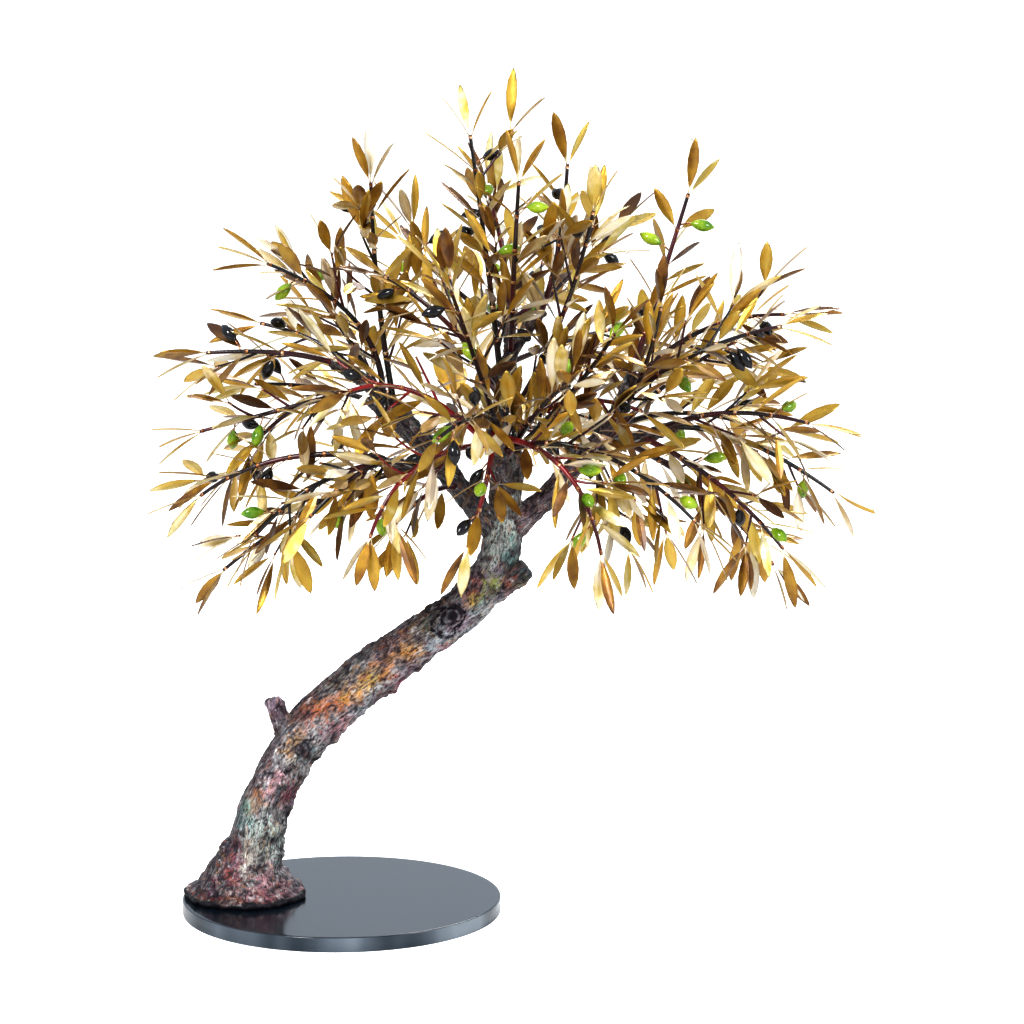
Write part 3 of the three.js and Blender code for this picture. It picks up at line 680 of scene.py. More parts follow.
# Seams wander over the bark where a slow noise passes its middle value
slow = bark.noise(bark.vectors("MULTIPLY", where, (1, 1, 0.42)), 62, 2, Roughness=0.45, Distortion=1.1)
away = bark.math("MULTIPLY", 34.0, bark.math("ABSOLUTE", bark.math("SUBTRACT", slow, 0.5)))
seam = bark.math("MULTIPLY", bark.math("MAXIMUM", bark.math("SUBTRACT", 1.0, away)), given["Seam depth"])
seam = bark.math("ADD", seam, noted(bark, "carved", "FLOAT"))
height = bark.math("SUBTRACT", height, seam)
normal = bark.add("GeometryNodeInputNormal").outputs[0]
offset = bark.add("ShaderNodeVectorMath", {0: normal, "Scale": height}, operation="SCALE").outputs[0]
spot = bark.parts(bark.vectors("ADD", bark.add("GeometryNodeInputPosition").outputs[0], offset))
resting = bark.add("ShaderNodeCombineXYZ", {
    0: spot[0], 1: spot[1], 2: bark.math("MAXIMUM", spot[2], given["Underside"])}).outputs[0]
shape = bark.add("GeometryNodeSetPosition", {"Geometry": given["Geometry"], "Position": resting})
for label, value in (("relief", height), ("seam", seam)):
    shape = bark.add("GeometryNodeStoreNamedAttribute", {
        "Geometry": shape.outputs["Geometry"], "Name": label, "Value": value},
        data_type="FLOAT", domain="POINT")
bark.add("NodeGroupOutput", {"Geometry": realized(bark, shape.outputs["Geometry"], given["Material"])})

patinated, nodes, shader = finish_named("cast_patina", Specular_IOR_Level=0.28)
drawn_out = nodes.stretched(nodes.attribute("straight", "Vector"), (1.0, 1.0, 0.32))
specks = nodes.noise(drawn_out, 680, 5, Roughness=0.72, Distortion=0.7)
blots = nodes.noise(drawn_out, 260, 5, Roughness=0.65, Distortion=0.5)
hue = nodes.parts(nodes.noise(drawn_out, 210, 3, "Color", Roughness=0.6, Distortion=1.5))
glints = nodes.ramp(
    hue[0], (0.34, (0.04, 0.15, 0.16)), (0.43, (0.13, 0.06, 0.10)), (0.5, (0.34, 0.37, 0.37)),
    (0.58, (0.36, 0.14, 0.13)), (0.68, (0.42, 0.25, 0.07)))
# The patina, with the painted shade on the trunk's upper-left side in it
painted = nodes.attribute("patina", "Color")
colour = nodes.blend(nodes.span(hue[1], 0.42, 0.58, 0.05, 0.6), painted, glints)
for share, tint in (
    (nodes.span(specks, 0.53, 0.40, 0.0, 0.94), (0.020, 0.010, 0.016)),
    (nodes.span(blots, 0.57, 0.7, 0.0, 0.8), (0.60, 0.61, 0.61)),
    (nodes.span(nodes.attribute("relief"), 0.0006, -0.0016, 0.0, 0.9), (0.016, 0.008, 0.014)),
    (nodes.span(nodes.attribute("seam"), 0.0004, 0.0016, 0.0, 0.9), (0.012, 0.007, 0.014)),
):
    colour = nodes.blend(share, colour, tint)
# The patina's alpha is 0 where the foot's rim is darkened to near black
colour = nodes.blend(nodes.attribute("patina", "Alpha"), (0.010, 0.009, 0.013), colour)
dress(nodes, shader, Base_Color=colour, Roughness=nodes.span(blots, 0.3, 0.7, 0.6, 0.38),
      Metallic=nodes.span(specks, 0.35, 0.6, 0.1, 0.4), Normal=nodes.bump(specks, 0.7, 0.0009))

worked_by(trunk, bark_tree, Lump_height=5 * MM, Furrow_height=7 * MM, Knob_height=4 * MM,
          Grain_height=1.0 * MM, Seam_depth=1.5 * MM, Underside=TRUNK_UNDERSIDE * MM, Material=patinated)
trunk.data.shade_smooth()
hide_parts("trunk")
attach(trunk, "root")


# WHERE THE SPRAYS STAND
# Forty-seven leafy sprays are set in plain holes in the limbs, bent clear of one another by hand, and
# dressed with leaves and olives that keep off their neighbours. This section only finds the places.

# Each spray: its limb, its place along it, the bend and the tip of its stem, and its olives, black or
# green, first those that every view needs and then the ones further in
SPRAYS = {
    "left_01": ("leftHigh", 0.95, (-50, -15, 572), (-113, -10, 567), "b", "b"),
    "left_02": ("leftHigh", 0.6, (-6, 26, 576), (-63, 35, 587), "b", ""),
    "left_03": ("leftHigh", 0.28, (46, -32, 612), (-52, -30, 650), "g", ""),
    "left_04": ("leftHigh", 0.45, (-20, -48, 524), (-120, -25, 494), "g", ""),
    "left_05": ("leftFront", 0.95, (-62, -70, 486), (-120, -60, 441), "b", ""),
    "left_06": ("leftFront", 0.78, (-22, -112, 464), (-67, -100, 410), "g", ""),
    "left_07": ("leftFront", 0.42, (-10, -36, 440), (-102, -20, 361), "", ""),
    "left_08": ("leftFront", 0.6, (40, -130, 490), (-11, -140, 435), "g", ""),
    "left_09": ("left", 0.45, (92, -60, 446), (66, -78, 416), "g", ""),
    "left_10": ("leftBack", 0.95, (-20, 120, 520), (-74, 112, 520), "b", ""),
    "left_13": ("leftBack", 0.55, (10, 90, 570), (-36, 100, 628), "", "g"),
    "top_01": ("leftHigh", 0.12, (36, -6, 620), (34, -10, 717), "b", ""),
    "top_02": ("centre", 0.86, (112, -66, 612), (62, -72, 640), "b", ""),
    "top_03": ("centre", 0.78, (98, 44, 600), (77, 40, 670), "", "b"),
    "top_04": ("centre", 0.96, (148, -24, 660), (133, -20, 764), "bg", "b"),
    "top_05": ("topRight", 0.3, (172, -64, 640), (177, -60, 722), "g", ""),
    "top_06": ("topRight", 0.95, (220, 14, 650), (225, 20, 733), "b", "b"),
    "top_07": ("centre", 0.7, (228, -44, 596), (247, -40, 692), "b", ""),
    "top_08": ("topRight", 0.7, (204, 76, 618), (246, 82, 646), "", ""),
    "top_09": ("rightHigh", 0.95, (312, -18, 620), (339, -10, 707), "g", ""),
    "top_10": ("rightHigh", 0.4, (298, -96, 534), (311, -104, 606), "", ""),
    "right_01": ("rightHigh", 0.82, (350, 18, 602), (424, 10, 602), "b", ""),
    "right_02": ("rightHigh", 0.66, (340, -52, 582), (418, -50, 594), "b", "b"),
    "right_03": ("rightOut", 0.8, (372, -34, 524), (447, -30, 503), "g", ""),
    "right_04": ("rightOut", 0.97, (396, 22, 492), (480, 30, 430), "g", ""),
    "right_05": ("centre", 0.6, (222, -70, 548), (283, -70, 522), "b", "b"),
    "right_06": ("rightOut", 0.62, (378, -48, 452), (428, -40, 388), "g", "b"),
    "right_07": ("rightOut", 0.45, (370, 54, 430), (425, 50, 357), "", ""),
    "right_08": ("front", 0.6, (250, -138, 520), (337, -130, 428), "g", "b"),
    "right_09": ("front", 0.8, (236, -180, 500), (253, -176, 409), "g", "g"),
    "right_10": ("rightBack", 0.4, (262, 50, 424), (284, 60, 372), "b", ""),
    "right_11": ("rightBack", 0.95, (350, 130, 500), (404, 120, 480), "b", ""),
    "right_13": ("rightBack", 0.6, (330, 70, 540), (384, 90, 560), "", "b"),
    "front_01": ("front", 0.9, (154, -166, 474), (134, -156, 412), "b", "g"),
    "front_02": ("front", 0.7, (66, -176, 500), (42, -176, 425), "g", ""),
    "front_03": ("front", 0.5, (82, -118, 566), (30, -124, 548), "b", ""),
    "front_04": ("front", 0.97, (140, -200, 540), (112, -232, 520), "", "b"),
    "front_05": ("front", 0.4, (204, -120, 540), (222, -196, 556), "", ""),
    "front_06": ("centre", 0.4, (140, -100, 560), (118, -154, 630), "", "b"),
    "front_07": ("centre", 0.5, (236, -110, 540), (262, -150, 590), "g", ""),
    "back_01": ("backHigh", 0.95, (166, 150, 650), (150, 150, 704), "", "b"),
    "back_02": ("backHigh", 0.7, (110, 160, 610), (70, 170, 650), "", "g"),
    "back_03": ("backHigh", 0.8, (226, 160, 620), (266, 172, 660), "b", ""),
    "back_05": ("backHigh", 0.4, (230, 190, 560), (282, 214, 566), "", "g"),
    "back_06": ("backHigh", 0.6, (176, 220, 600), (180, 270, 600), "b", ""),
    "back_07": ("back", 0.85, (120, 190, 490), (90, 232, 450), "", "g"),
    "back_08": ("back", 0.75, (216, 180, 480), (246, 230, 448), "b", ""),
}
# A fork is a second stem that leaves the first: its start along it, its bend, its tip and its olives
FORKS = {"left_04": (0.5, (-76, -30, 492), (-98, 12, 455), "b", "b")}
STEM_RADII = (3.3, 1.7)
FORK_SHRINK = 0.85
STEM_STEPS = 4
STEM_REACH = 16
LEAF_LENGTHS = (48, 63)
LEAF_WIDTHS = (12, 15.5)
LEAF_ARCH = 0.1
LEAF_GAP = 34
LONG_STEM = 195
BARE_STEM = 34
TWIG_LENGTHS = (30, 56)
TWIG_RADII = (1.5, 1.0)
TWIG_LEAN = (0.55, 1.0)
# How likely a side twig and an extra leaf are at each place, in each part of the crown
TWIG_CHANCES = {"left": 0.78, "top": 0.62, "right": 0.95, "front": 0.78, "back": 0.75}
EXTRA_CHANCES = {"left": 0.68, "top": 0.5, "right": 0.95, "front": 0.7, "back": 0.66}
OLIVE_CHANCE = 0.24
OLIVE_LENGTH = 24
OLIVE_WIDTH = 13
STALK_LENGTH = 12
# Leans from the stem, turns round it and rolls about the leaf's own axis, in radians
END_LEAN = (0.2, 0.5)
SIDE_LEAN = (0.6, 1)
LEAF_ROLL = (-0.9, 0.9)
TURN_STEP = 0.7
OLIVE_LEAN = 1.1
OLIVE_DROOP = 0.35
# How far below the tip the last leaves leave a stem and a twig, and the lower pair leaves a twig
TIP_GAP = 2.5
TWIG_TIP_GAP = 2
TWIG_PAIR_GAP = 22
TWIG_RISE = (-0.12, 0.25)
GREEN_CHANCE = 0.4
CLEARANCE = 0.8
BEND_SHIFTS = (0, 8, -8, 16, -16, 24, -24, 32, -32, 40, -40)
TRIES = 7
PACE = 4


def mix(ends, share):
    return ends[0] + (ends[1] - ends[0]) * share


def seeded_draws(seed):
    """The same draws from 0 to 1 each time, for one seed."""
    state = (seed + 1) * 2654435761 % 2 ** 32
    while True:
        state = (state * 1664525 + 1013904223) % 2 ** 32
        yield state / 2 ** 32


# What is placed so far, as balls along each piece
placed = {"spots": np.empty((0, 3)), "reach": np.empty(0), "owner": np.empty(0, int)}


def balls_clear(spots, reach, owner, in_socket):
    """True if no ball comes near another spray's, or the trunk's outside its own hole."""
    gaps = np.linalg.norm(spots[:, None] - placed["spots"][None], axis=2)
    near = gaps <= reach[:, None] + placed["reach"][None] + CLEARANCE
    near &= (placed["owner"] != owner)[None]
    near &= ~(in_socket[:, None] & (placed["owner"] == -1)[None])
    return not near.any()


def keep_balls(spots, reach, owner):
    placed["spots"] = np.vstack([placed["spots"], spots])
    placed["reach"] = np.append(placed["reach"], reach)
    placed["owner"] = np.append(placed["owner"], np.full(len(reach), owner))


def stem_shares(root, bend, tip):
    root, bend, tip = (np.array(spot, float) for spot in (root, bend, tip))
    length = math.dist(root, bend) + math.dist(bend, tip)
    return np.arange(math.ceil(length / PACE) + 1) / math.ceil(length / PACE)


def stem_length(stem):
    line = bent_line(*stem["curve"], np.linspace(0, 1, 201))
    return np.linalg.norm(np.diff(line, axis=0), axis=1).sum()


def grow_stem(root, bend, tip, owner, radii, socket_share, olives):
    """A stem whose bend is shifted to and fro until it clears what is placed."""
    for shift in BEND_SHIFTS:
        bent = np.array(bend, float) + (0, shift, 0)
        end = np.array(tip, float) + unit(np.array(tip, float) - bent) * STEM_REACH
        shares = stem_shares(root, bent, end)
        spots = bent_line(root, bent, end, shares)
        reach = mix(radii, shares) + 0.4
        if balls_clear(spots, reach, owner, shares < socket_share):
            keep_balls(spots, reach, owner)
            return {"curve": (root, bent, end), "radii": radii, "olives": olives, "owner": owner}
    raise ValueError(owner)


def leaving(curve, share, lean, turn):
    """A direction that leaves the stem at a lean from its axis and a turn round it."""
    ends = bent_line(*curve, (max(share - 0.0001, 0), min(share + 0.0001, 1)))
    axis = unit(ends[1] - ends[0])
    side = np.cross(across_axis(axis, ALONG_Z, ALONG_Y), axis)
    away = side * math.cos(turn) + np.cross(axis, side) * math.sin(turn)
    return unit(axis * math.cos(lean) + away * math.sin(lean))


def leaf_balls(leaf):
    shares = np.arange(1, math.ceil(leaf["length"] / PACE) + 1) / math.ceil(leaf["length"] / PACE)
    along = leaf["heading"] * (shares * leaf["length"])[:, None]
    spots = leaf["root"] + along - leaf["face"] * (LEAF_ARCH * leaf["length"] * shares ** 2)[:, None]
    return spots, (0.2 + 0.8 * np.sin(math.pi * shares)) * leaf["width"] / 2


def grow_leaf(stem, share, lean, turn, draw):
    """A leaf that is turned round its stem until it clears the other sprays, or is left out."""
    for attempt in range(TRIES):
        heading = leaving(stem["curve"], share, lean, turn + attempt * TURN_STEP)
        face = across_axis(heading, ALONG_Z, ALONG_Y)
        roll = mix(LEAF_ROLL, next(draw))
        face = face * math.cos(roll) + np.cross(heading, face) * math.sin(roll)
        leaf = {"root": bent_line(*stem["curve"], share), "heading": heading, "face": face,
                "length": mix(LEAF_LENGTHS, next(draw)), "width": mix(LEAF_WIDTHS, next(draw))}
        spots, reach = leaf_balls(leaf)
        if balls_clear(spots, reach, stem["owner"], np.zeros(len(reach), bool)):
            keep_balls(spots, reach, stem["owner"])
            return [leaf]
    return []


def grow_olive(stem, share, colour, draw):
    for attempt in range(TRIES):
        heading = leaving(stem["curve"], share, OLIVE_LEAN, next(draw) * 2 * math.pi)
        axis = unit(heading - ALONG_Z * OLIVE_DROOP)
        root = bent_line(*stem["curve"], share)
        middle = root + heading * STALK_LENGTH + axis * OLIVE_LENGTH / 2
        spots = np.array([middle + axis * along * OLIVE_LENGTH for along in (-0.3, 0, 0.3)])
        reach = np.full(3, OLIVE_WIDTH / 2)
        if balls_clear(spots, reach, stem["owner"], np.zeros(3, bool)):
            keep_balls(spots, reach, stem["owner"])
            return [{"root": root, "heading": heading, "axis": axis, "colour": colour}]
    return []


def dress_stem(stem, draw):
    """The leaves at the tip, the first pairs below it and the outer olives."""
    length = stem_length(stem)
    first_turn = next(draw) * math.pi
    stem["length"], stem["first_turn"] = length, first_turn
    stem["leaves"], stem["fruit"] = [], []
    for i in range(3):
        lean = mix(END_LEAN, next(draw))
        turn = first_turn + i * 2 * math.pi / 3
        stem["leaves"] += grow_leaf(stem, 1 - TIP_GAP / length, lean, turn, draw)
    for pair in range(1, 3 if length > LONG_STEM else 2):
        for half in (0, math.pi) if pair == 1 else (0,):
            lean = mix(SIDE_LEAN, next(draw))
            turn = first_turn + pair * math.pi / 2 + half
            stem["leaves"] += grow_leaf(stem, 1 - pair * LEAF_GAP / length, lean, turn, draw)
    for i, colour in enumerate(stem["olives"][0]):
        stem["fruit"] += grow_olive(stem, 1 - (i + 0.85) * LEAF_GAP / length, colour, draw)


def grow_twig(stem, share, draw):
    """A short side twig with three leaves at its tip, and a pair lower down on a long one."""
    for attempt in range(TRIES):
        root = bent_line(*stem["curve"], share)
        heading = leaving(stem["curve"], share, mix(TWIG_LEAN, next(draw)), next(draw) * 2 * math.pi)
        length = mix(TWIG_LENGTHS, next(draw))
        tip = root + heading * length + ALONG_Z * length * mix(TWIG_RISE, next(draw))
        curve = (root, root + heading * length * 0.55, tip)
        shares = stem_shares(*curve)[1:]
        reach = mix(TWIG_RADII, shares)
        if not balls_clear(bent_line(*curve, shares), reach, stem["owner"], np.zeros(len(reach), bool)):
            continue
        keep_balls(bent_line(*curve, shares), reach, stem["owner"])
        twig = {"curve": curve, "radii": TWIG_RADII, "owner": stem["owner"], "length": length, "fruit": [],
                "leaves": [], "twigs": []}
        first_turn = next(draw) * math.pi
        for i in range(3):
            lean = mix(END_LEAN, next(draw)) + 0.1
            turn = first_turn + i * 2 * math.pi / 3
            twig["leaves"] += grow_leaf(twig, 1 - TWIG_TIP_GAP / length, lean, turn, draw)
        if length > mix(TWIG_LENGTHS, 0.4):
            for half in (0, math.pi):
                twig["leaves"] += grow_leaf(twig, 1 - TWIG_PAIR_GAP / length, mix(SIDE_LEAN, next(draw)),
                                            first_turn + math.pi / 2 + half, draw)
        return [twig]
    return []


def fill_stem(stem, draw, region):
    """The pairs, twigs and olives further in, down to the bare foot of the stem."""
    length = stem["length"]
    stem["twigs"] = []
    for pair in range(2, int((length - BARE_STEM) / LEAF_GAP) + 1):
        for half in (math.pi,) if pair == 2 and length > LONG_STEM else (0, math.pi):
            lean = mix(SIDE_LEAN, next(draw))
            turn = stem["first_turn"] + pair * math.pi / 2 + half
            stem["leaves"] += grow_leaf(stem, 1 - pair * LEAF_GAP / length, lean, turn, draw)
    for pair in range(1, int((length - BARE_STEM) / LEAF_GAP) + 1):
        for half in (0, math.pi):
            if next(draw) < EXTRA_CHANCES[region]:
                turn = stem["first_turn"] + pair * math.pi / 2 + math.pi / 4 + half
                stem["leaves"] += grow_leaf(stem, 1 - (pair + 0.5) * LEAF_GAP / length,
                                            mix(SIDE_LEAN, next(draw)), turn, draw)
        if next(draw) < TWIG_CHANCES[region]:
            stem["twigs"] += grow_twig(stem, 1 - (pair + 0.35) * LEAF_GAP / length, draw)
        if next(draw) < OLIVE_CHANCE:
            colour = "g" if next(draw) < GREEN_CHANCE else "b"
            stem["fruit"] += grow_olive(stem, 1 - (pair + 0.6) * LEAF_GAP / length, colour, draw)
    for i, colour in enumerate(stem["olives"][1]):
        share = 1 - (i + len(stem["olives"][0]) + 0.85) * LEAF_GAP / length
        stem["fruit"] += grow_olive(stem, share, colour, draw)


for root, bend, tip, radii in LIMBS.values():
    shares = stem_shares(root, bend, tip)
    keep_balls(bent_line(root, bend, tip, shares), mix(radii, shares) * 1.1, -1)
coarse_rows = smooth_line(TRUNK_SPINE, TRUNK_STEPS_PER_SPAN)
keep_balls(coarse_rows[:, :3], coarse_rows[:, 3] * 1.1, -1)

sprays = []
for owner, (name, (limb, at, bend, tip, *olives)) in enumerate(SPRAYS.items()):
    root = bent_line(*LIMBS[limb][:3], at)
    stems = [grow_stem(root, bend, tip, owner, STEM_RADII, 1 / STEM_STEPS, olives)]
    if name in FORKS:
        at, bend, tip, *olives = FORKS[name]
        start = bent_line(*stems[0]["curve"], at)
        radii = (mix(STEM_RADII, at) * FORK_SHRINK, STEM_RADII[1])
        stems.append(grow_stem(start, bend, tip, owner, radii, 0, olives))
    sprays.append((name, stems))
for owner, (name, stems) in enumerate(sprays):
    draw = seeded_draws(owner)
    for stem in stems:
        dress_stem(stem, draw)
for owner, (name, stems) in enumerate(sprays):
    draw = seeded_draws(owner + 1000)
    for stem in stems:
        fill_stem(stem, draw, name.split("_")[0])


# THE STEMS
# Each stem is a drawn rod, 6.6 mm thick at its root and 3.4 mm at its tip, bent in a long sweep and
# dipped in gloss lacquer that runs from black through maroon to a clear red.

lacquered, nodes, shader = finish_named("stem_lacquer")
place = nodes.place()
pool, runs = nodes.noise(place, 22, 3), nodes.noise(place, 350)
redness = nodes.math("ADD", nodes.attribute("tone"), nodes.span(pool, 0.3, 0.7, -0.3, 0.3))
colour = nodes.ramp(redness, (0.1, (0.004, 0.002, 0.003)), (0.42, (0.030, 0.003, 0.006)),
                    (0.75, (0.10, 0.004, 0.008)), (1.0, (0.25, 0.005, 0.008)))
dress(nodes, shader, Base_Color=colour, Roughness=nodes.span(pool, 0.3, 0.7, 0.14, 0.3),
      Normal=nodes.bump(runs, 0.25, 0.0008))
# Stems whose lacquer shows red, and how red
RED_STEMS = {"front_01": 0.85, "front_02": 0.95, "front_03": 1.0, "right_05": 0.85, "right_09": 0.75,
             "left_04": 0.5, "left_05": 0.45, "top_02": 0.5, "top_09": 0.5, "right_06": 0.5, "left_07": 0.4}


# THE LEAVES
# Lance-shaped blades cut from brass sheet, 48 to 63 mm long, creased along the midrib and arched,
# each soldered on by a wire stalk. Heat has turned some brown or olive. The pale cream ones are
# painted highlight, coloured as if they caught the light.

BLADE_STATIONS = [(-0.03, 0.09), (0.14, 0.09), (0.25, 0.44), (0.42, 0.86), (0.61, 1.0), (0.80, 0.8),
                  (0.94, 0.36)]
BLADE_FOLD = 0.011
BLADE_BODY = 0.014

brass, nodes, shader = finish_named("leaf_brass", Metallic=0.85, Coat_Weight=0.6, Coat_Roughness=0.22)
spread = nodes.add("ShaderNodeUVMap", uv_map="blade").outputs["UV"]
heat = nodes.noise(nodes.place(), 42, 3)
tone = nodes.math("ADD", nodes.attribute("tone"), nodes.span(heat, 0.3, 0.7, -0.15, 0.17))
# The ramp's pale cream end, from about 0.78 up, is painted highlight: leaves coloured as if they mirrored
# the lights
colour = nodes.ramp(
    tone, (0.0, (0.085, 0.033, 0.010)), (0.14, (0.25, 0.115, 0.016)), (0.32, (0.48, 0.28, 0.030)),
    (0.56, (0.66, 0.44, 0.065)), (0.70, (0.64, 0.50, 0.12)), (0.84, (0.90, 0.78, 0.47)),
    (1.0, (0.97, 0.90, 0.75)))
strokes = nodes.noise(nodes.stretched(spread, (40.0, 2.2, 1.0)), 3, 3)
across, along = nodes.parts(spread)[:2]
offside = nodes.math("ABSOLUTE", nodes.math("SUBTRACT", across, 0.5))
colour = nodes.blend(nodes.span(strokes, 0.35, 0.75, 0.0, 0.4), colour, (0.16, 0.06, 0.010))
colour = nodes.blend(nodes.span(offside, 0.32, 0.5, 0.0, 0.34), colour, (0.13, 0.05, 0.010))
# The veins rise towards the edges. The lowest part of the blade is its wire stalk.
rising = nodes.math("SUBTRACT", along, nodes.math("MULTIPLY", offside, 0.35))
veins = nodes.math("SINE", nodes.math("MULTIPLY", rising, 95.0))
surface = nodes.math("ADD", nodes.span(veins, 0.4, 1.0, 0.0, 0.5), strokes)
dress(nodes, shader, Base_Color=nodes.blend(nodes.span(along, 0.2, 0.12), colour, (0.80, 0.68, 0.48)),
      Roughness=nodes.span(strokes, 0.3, 0.7, 0.3, 0.48), Normal=nodes.bump(surface, 0.35, 0.0003))


def shape_from(name, rings, tip, material, across=None):
    """A pattern piece from rings of points and a tip. across gives each corner's place over the ring."""
    shape = bmesh.new()
    spread = shape.loops.layers.uv.new("blade")
    sides = len(rings[0])
    corners = [[shape.verts.new(spot) for spot in ring] for ring in rings]
    end = shape.verts.new(tip)
    faces = [shape.faces.new(corners[0])]
    for k, low in enumerate(corners):
        for i in range(sides):
            j = (i + 1) % sides
            above = (corners[k + 1][j], corners[k + 1][i]) if k + 1 < len(corners) else (end,)
            faces.append(shape.faces.new((low[i], low[j], *above)))
    across = across or [i / sides for i in range(sides)]
    place_of = {corner: (across[i], ring[0][1])
                for ring, made in zip(rings, corners) for i, corner in enumerate(made)}
    place_of[end] = (0.5, tip[1])
    for face in faces:
        face.smooth = True
        for loop in face.loops:
            loop[spread].uv = place_of[loop.vert]
    bmesh.ops.recalc_face_normals(shape, faces=faces)
    made = bpy.data.meshes.new(name)
    shape.to_mesh(made)
    shape.free()
    return finished(name, made, material)


def blade_rings():
    """Rings of eight points, five over the top from edge to edge and three beneath."""
    rings = []
    for share, width in BLADE_STATIONS:
        low = -LEAF_ARCH * share ** 2
        top = [(x / 2 * width, share, low + BLADE_FOLD * (abs(x) - 0.6) * min(width * 1.4, 1))
               for x in (-1, -0.5, 0, 0.5, 1)]
        under = [(x / 2 * width, share, top[round(x * 2 + 2)][2] - BLADE_BODY * (1 - abs(x) * 0.6))
                 for x in (0.5, 0, -0.5)]
        rings.append(top + under)
    return rings


leaf_pattern = shape_from("leaf_pattern", blade_rings(), (0, 1, -LEAF_ARCH), brass,
                          (0, 0.25, 0.5, 0.75, 1, 0.75, 0.5, 0.25))
# Both edges and the midrib are sharp from the stalk to the last ring below the tip
BLADE_RING = 8
BLADE_CREASES = (0, 2, 4)
sharp = leaf_pattern.data.attributes.new("sharp_edge", "BOOLEAN", "EDGE")
for edge in leaf_pattern.data.edges:
    low, high = edge.vertices
    sharp.data[edge.index].value = (
        low % BLADE_RING == high % BLADE_RING and low % BLADE_RING in BLADE_CREASES
        and max(low, high) < BLADE_RING * len(BLADE_STATIONS))


# THE OLIVES
# Pointed drupes of cast resin, 24 mm long and 13 mm across, glazed black or green and hung on a
# bent wire stalk.

OLIVE_STATIONS = [(0.0, 0.12), (0.06, 0.3), (0.2, 0.68), (0.37, 0.93), (0.53, 1.0), (0.71, 0.84),
                  (0.87, 0.47), (0.96, 0.18)]
OLIVE_SIDES = 10


def glaze(name, dark, light):
    material, nodes, shader = finish_named(name)
    place = nodes.place()
    cloud, dots = nodes.noise(place, 60, 3), nodes.noise(place, 1100, 1)
    pale = tuple(min(1, channel * 1.8 + 0.03) for channel in light)
    body = nodes.ramp(cloud, (0.35, dark), (0.7, light))
    dress(nodes, shader, Base_Color=nodes.blend(nodes.span(dots, 0.66, 0.72, 0.0, 0.6), body, pale),
          Roughness=nodes.span(cloud, 0.3, 0.7, 0.08, 0.16), Normal=nodes.bump(cloud, 0.15, 0.001))
    return material


def rings_round(stations, sides, scale):
    """Round rings for a pattern piece: places along it, and radii."""
    turns = [2 * math.pi * i / sides for i in range(sides)]
    return [[(math.cos(t) * width * scale, share, math.sin(t) * width * scale) for t in turns]
            for share, width in stations]


black_glaze = glaze("olive_black", (0.002, 0.002, 0.004), (0.005, 0.004, 0.008))
green_glaze = glaze("olive_green", (0.07, 0.20, 0.006), (0.38, 0.50, 0.03))
olive_pattern = shape_from(
    "olive_pattern", rings_round(OLIVE_STATIONS, OLIVE_SIDES, 0.5), (0, 1, 0), black_glaze)


# THE WIRE BINDINGS
# Where leaves leave a stem, three turns of pale gold wire are wound round it and soldered over.

BINDING_STATIONS = [(-0.5, 0.75), (-0.42, 1.12), (-0.26, 1.2), (-0.13, 1.06), (0.0, 1.2), (0.13, 1.06),
                    (0.28, 1.2), (0.44, 1.1)]
BINDING_LENGTH = 3.6
BINDING_SIDES = 8

wire, nodes, shader = finish_named("binding_wire", Metallic=1.0)
solder = nodes.noise(nodes.place(), 300, 4)
colour = nodes.ramp(
    solder, (0.38, (0.10, 0.03, 0.015)), (0.54, (0.42, 0.20, 0.09)), (0.7, (0.88, 0.74, 0.56)))
dress(nodes, shader, Base_Color=colour, Roughness=nodes.span(solder, 0.3, 0.7, 0.25, 0.5),
      Normal=nodes.bump(solder, 0.5, 0.0005))
binding_pattern = shape_from(
    "binding_pattern", rings_round(BINDING_STATIONS, BINDING_SIDES, 1.0), (0, 0.5, 0), wire)


# THE SPRAYS PUT TOGETHER
# Each spray is soldered up on the bench from its stem, leaves, olives and bindings, and then set in
# its hole. One spray is one piece.

STEM, STALK, LEAF, BLACK_OLIVE, GREEN_OLIVE, BINDING = range(6)

spray_tree, spray, given = tree_with(
    "Leafy spray", Geometry="Geometry", Leaf="Object", Olive="Object", Binding="Object", Rod_sides="Int")
gathered = spray.add("GeometryNodeJoinGeometry")


def of_kind(number):
    same = spray.add("FunctionNodeCompare", data_type="INT", operation="EQUAL")
    spray_tree.links.new(noted(spray, "kind", "INT"), same.inputs[2])
    same.inputs[3].default_value = number
    return spray.add("GeometryNodeSeparateGeometry", {
        "Geometry": given["Geometry"], "Selection": same.outputs[0]}, domain="POINT").outputs["Selection"]


def gather(geometry, material):
    spray_tree.links.new(realized(spray, geometry, material), gathered.inputs["Geometry"])


